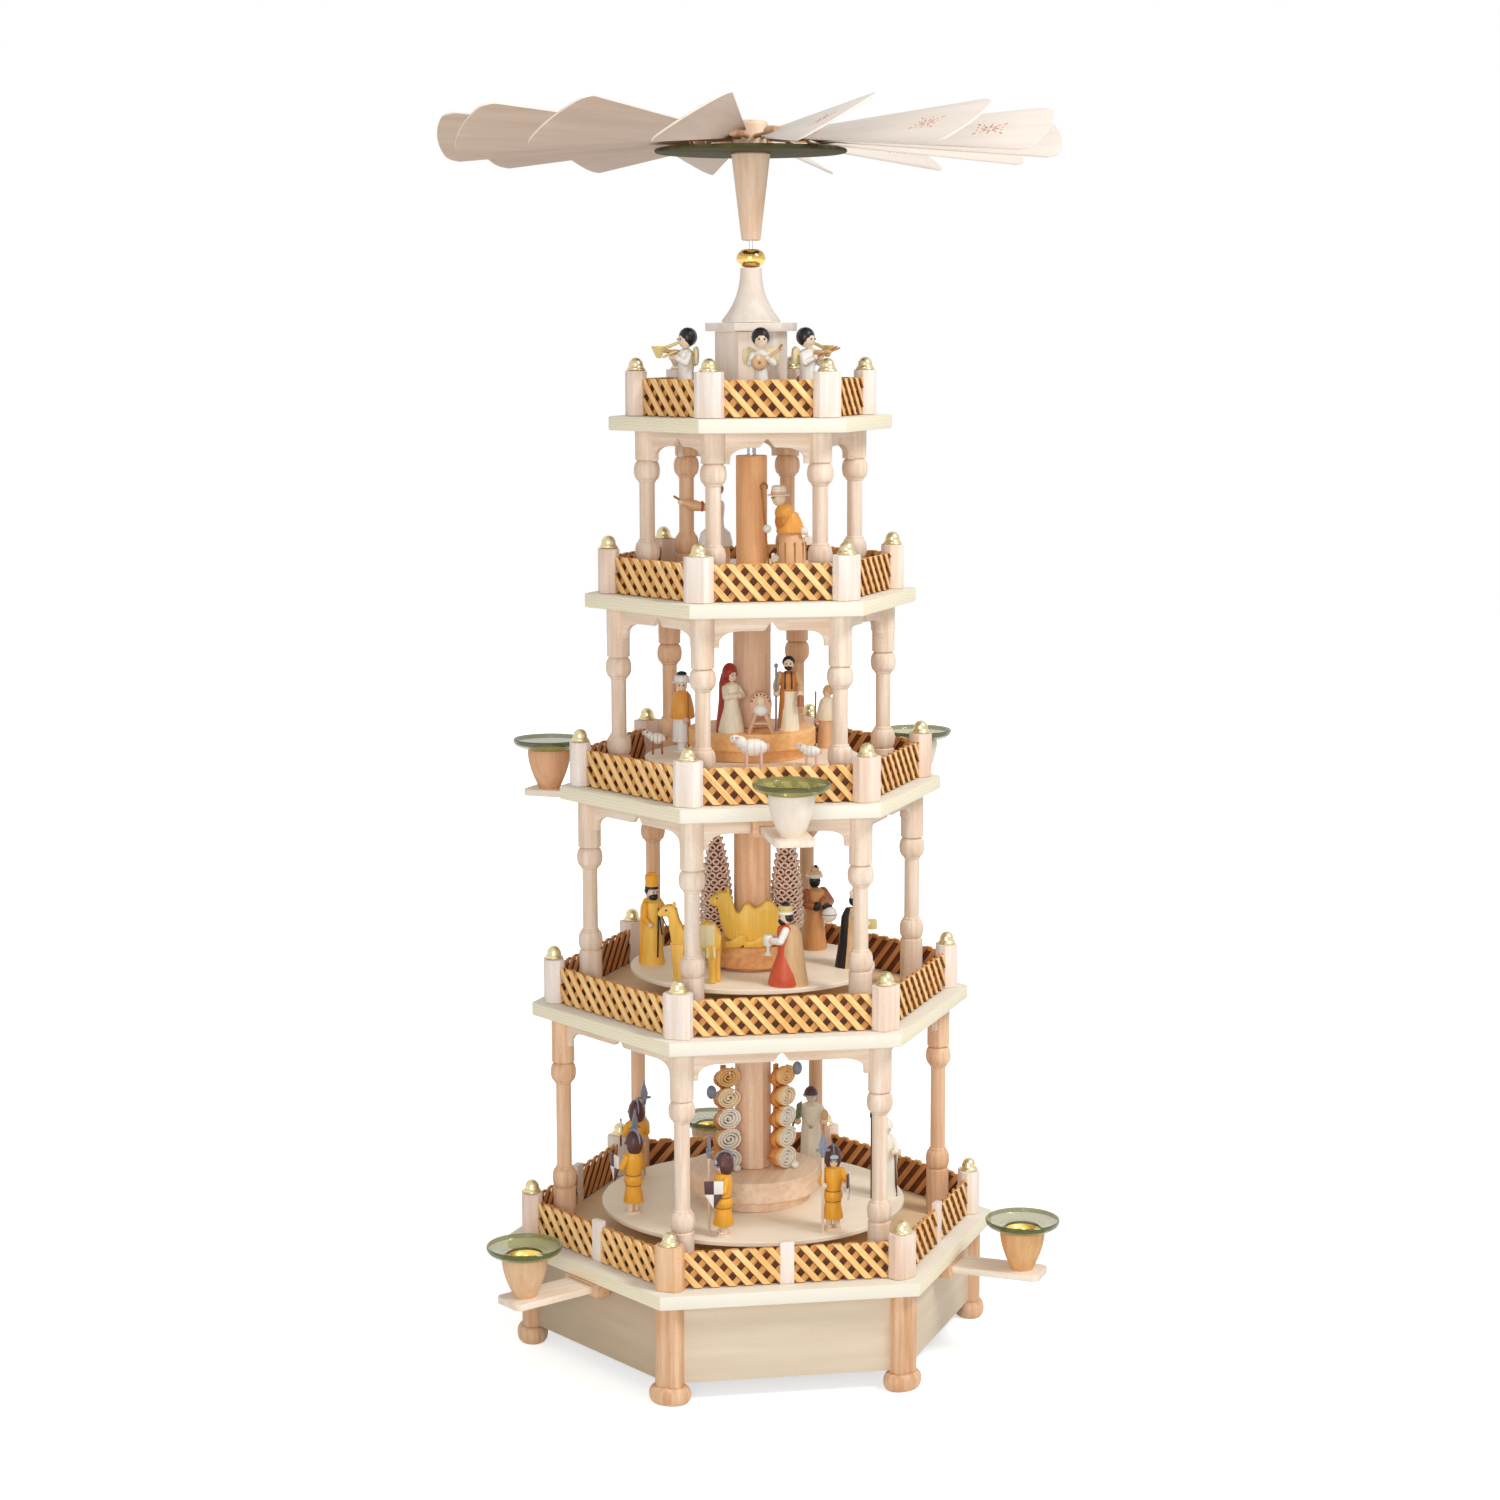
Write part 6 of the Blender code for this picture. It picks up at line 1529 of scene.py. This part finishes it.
# Winged players of the top deck. White dresses, round black hair and gilded wings; they stand round the tower
# and play a trumpet, a lute or a fiddle.
angel_height, angel_distance = 0.076, 0.063
angel_bearings = (-162, -92, -50, 31, 88, 143)
wing_shares = ((0.01, 0.65), (0.05, 0.58), (0.12, 0.555), (0.19, 0.58), (0.21, 0.66), (0.195, 0.74),
               (0.12, 0.77), (0.05, 0.73))
angel_shares = (
    ("spun", white, (0, 0, 0), robe_shares(0.135, 0.075, 0.096, 0.745)),
    *arms_shares(white, (0, 0.09, 0.68), (0.06, 0.13, 0.59), (0.14, 0.05, 0.65), 0.038),
    *face_shares(0.845, 0.085),
    ("egg", ink, (-0.026, 0, 0.878), (0.096, 0.104, 0.108)),
    ("cut", wing_gold, (-0.090, 0, 0), -14, 0.022, wing_shares),
    ("cut", wing_gold, (-0.090, 0, 0), 14, 0.022, [(-y, z) for y, z in wing_shares]))
trumpet_shares = (("limb", gold_paint, (0.075, 0, 0.82), (0.33, 0, 0.73), 0.016, 0.024),
                  ("spun", gold_paint, (0.33, 0, 0.725), ((0, 0.050), (0.078, 0.054), (0.082, 0.040),
                                                          (0.024, -0.08), (0, -0.08))),
                  ("limb", gold_paint, (0.12, 0, 0.72), (0.27, 0, 0.66), 0.015, 0.015))
lute_shares = (("egg", cape_tan, (0.135, -0.04, 0.60), (0.036, 0.090, 0.090)),
               ("egg", umber, (0.166, -0.04, 0.60), (0.010, 0.020, 0.020)),
               ("limb", cape_tan, (0.145, 0.0, 0.63), (0.145, 0.20, 0.75), 0.019, 0.016),
               ("limb", umber, (0.145, 0.19, 0.745), (0.11, 0.215, 0.79), 0.019, 0.013))
fiddle_shares = (("egg", cape_tan, (0.14, 0.04, 0.71), (0.09, 0.06, 0.028)),
                 ("egg", cape_tan, (0.22, 0.065, 0.715), (0.065, 0.045, 0.024)),
                 ("limb", leg_brown, (0.26, 0.075, 0.72), (0.37, 0.10, 0.755), 0.014, 0.012),
                 ("limb", umber, (0.12, -0.08, 0.63), (0.30, 0.14, 0.77), 0.009, 0.009))
for number, (bearing, instrument) in enumerate(zip(angel_bearings,
                                                   2 * (trumpet_shares, lute_shares, fiddle_shares))):
    place = ((bearing, angel_distance, bearing),)
    stand(f"angel_{number + 1}", angel_height, angel_shares + instrument, deck_tops[-1], place, "frame",
          "deck_5")


# Floor, light and camera. A plain white floor, a bright sky all round, a soft lamp high at the right front
# and a weaker one low at the left front, seen from a little above the third deck.
floor_size, floor_tone, floor_roughness = 12, 0.86, 0.9
glow_start, glow_full, glow_near_share, sky_strength = 0.4, 1.8, 0.6, 0.44
aim_height = 0.5
camera_place, camera_turn, camera_tilt = (-0.4125, -2.4845,
                                          0.8887), radians(-9.426) + 0.00071, radians(81.782)
camera_roll, camera_lens, sensor_width, clip_end = -0.00232, 69.75, 36, 50
bpy.ops.object.select_all(action="DESELECT")
bpy.ops.mesh.primitive_plane_add(size=floor_size)
floor = bpy.context.active_object
floor.name = "floor"
floor_white = bpy.data.materials.new("floor_white")
floor_white.use_nodes = True
nodes, links = floor_white.node_tree.nodes, floor_white.node_tree.links
shader = nodes["Principled BSDF"]
shader.inputs["Base Color"].default_value = (floor_tone, floor_tone, floor_tone, 1)
shader.inputs["Roughness"].default_value = floor_roughness
rays = nodes.new("ShaderNodeLightPath")
seen = nodes.new("ShaderNodeMath")
seen.operation = "MAXIMUM"
links.new(rays.outputs["Is Camera Ray"], seen.inputs[0])
links.new(rays.outputs["Is Glossy Ray"], seen.inputs[1])
spot = nodes.new("ShaderNodeTexCoord")
away = nodes.new("ShaderNodeVectorMath")
away.operation = "LENGTH"
links.new(spot.outputs["Object"], away.inputs[0])
glow = nodes.new("ShaderNodeMapRange")
glow.inputs["From Min"].default_value = glow_start
glow.inputs["From Max"].default_value = glow_full
glow.inputs["To Min"].default_value = glow_near_share
glow.inputs["To Max"].default_value = 1.0
links.new(away.outputs["Value"], glow.inputs["Value"])
seen_white = nodes.new("ShaderNodeMath")
seen_white.operation = "MULTIPLY"
links.new(seen.outputs[0], seen_white.inputs[0])
links.new(glow.outputs["Result"], seen_white.inputs[1])
shader.inputs["Emission Color"].default_value = (1, 1, 1, 1)
links.new(seen_white.outputs[0], shader.inputs["Emission Strength"])
floor.data.materials.append(floor_white)

world = bpy.data.worlds.new("white_room")
bpy.context.scene.world = world
world.use_nodes = True
nodes, links = world.node_tree.nodes, world.node_tree.links
sky = nodes["Background"]
sky.inputs["Color"].default_value = (1, 1, 1, 1)
rays = nodes.new("ShaderNodeLightPath")
seen = nodes.new("ShaderNodeMath")
seen.operation = "MAXIMUM"
links.new(rays.outputs["Is Camera Ray"], seen.inputs[0])
links.new(rays.outputs["Is Transmission Ray"], seen.inputs[1])
also = nodes.new("ShaderNodeMath")
also.operation = "MAXIMUM"
links.new(seen.outputs[0], also.inputs[0])
links.new(rays.outputs["Is Glossy Ray"], also.inputs[1])
strength = nodes.new("ShaderNodeMapRange")
strength.inputs["To Min"].default_value = sky_strength
strength.inputs["To Max"].default_value = 1.0
links.new(also.outputs[0], strength.inputs["Value"])
links.new(strength.outputs["Result"], sky.inputs["Strength"])


def soft_lamp(name, place, size, power):
    """A square lamp that points at the middle of the carousel."""
    lamp = bpy.data.lights.new(name, "AREA")
    lamp.size = size
    lamp.energy = power
    holder = bpy.data.objects.new(name, lamp)
    bpy.context.scene.collection.objects.link(holder)
    holder.location = place
    holder.rotation_euler = (Vector((0, 0, aim_height)) - Vector(place)).to_track_quat("-Z", "Y").to_euler()


soft_lamp("main_lamp", (1.7, -1.6, 2.9), 0.9, 58)
soft_lamp("front_lamp", (-0.9, -2.8, 1.0), 1.0, 28)

camera_data = bpy.data.cameras.new("camera")
camera_data.sensor_width = sensor_width
camera_data.lens = camera_lens
camera_data.clip_end = clip_end
camera = bpy.data.objects.new("camera", camera_data)
bpy.context.scene.collection.objects.link(camera)
camera.location = camera_place
look = Matrix.Rotation(camera_turn, 4, "Z") @ Matrix.Rotation(camera_tilt, 4, "X")
camera.rotation_euler = (look @ Matrix.Rotation(camera_roll, 4, "Z")).to_euler()
bpy.context.scene.camera = camera
bpy.context.scene.view_settings.view_transform = "Standard"
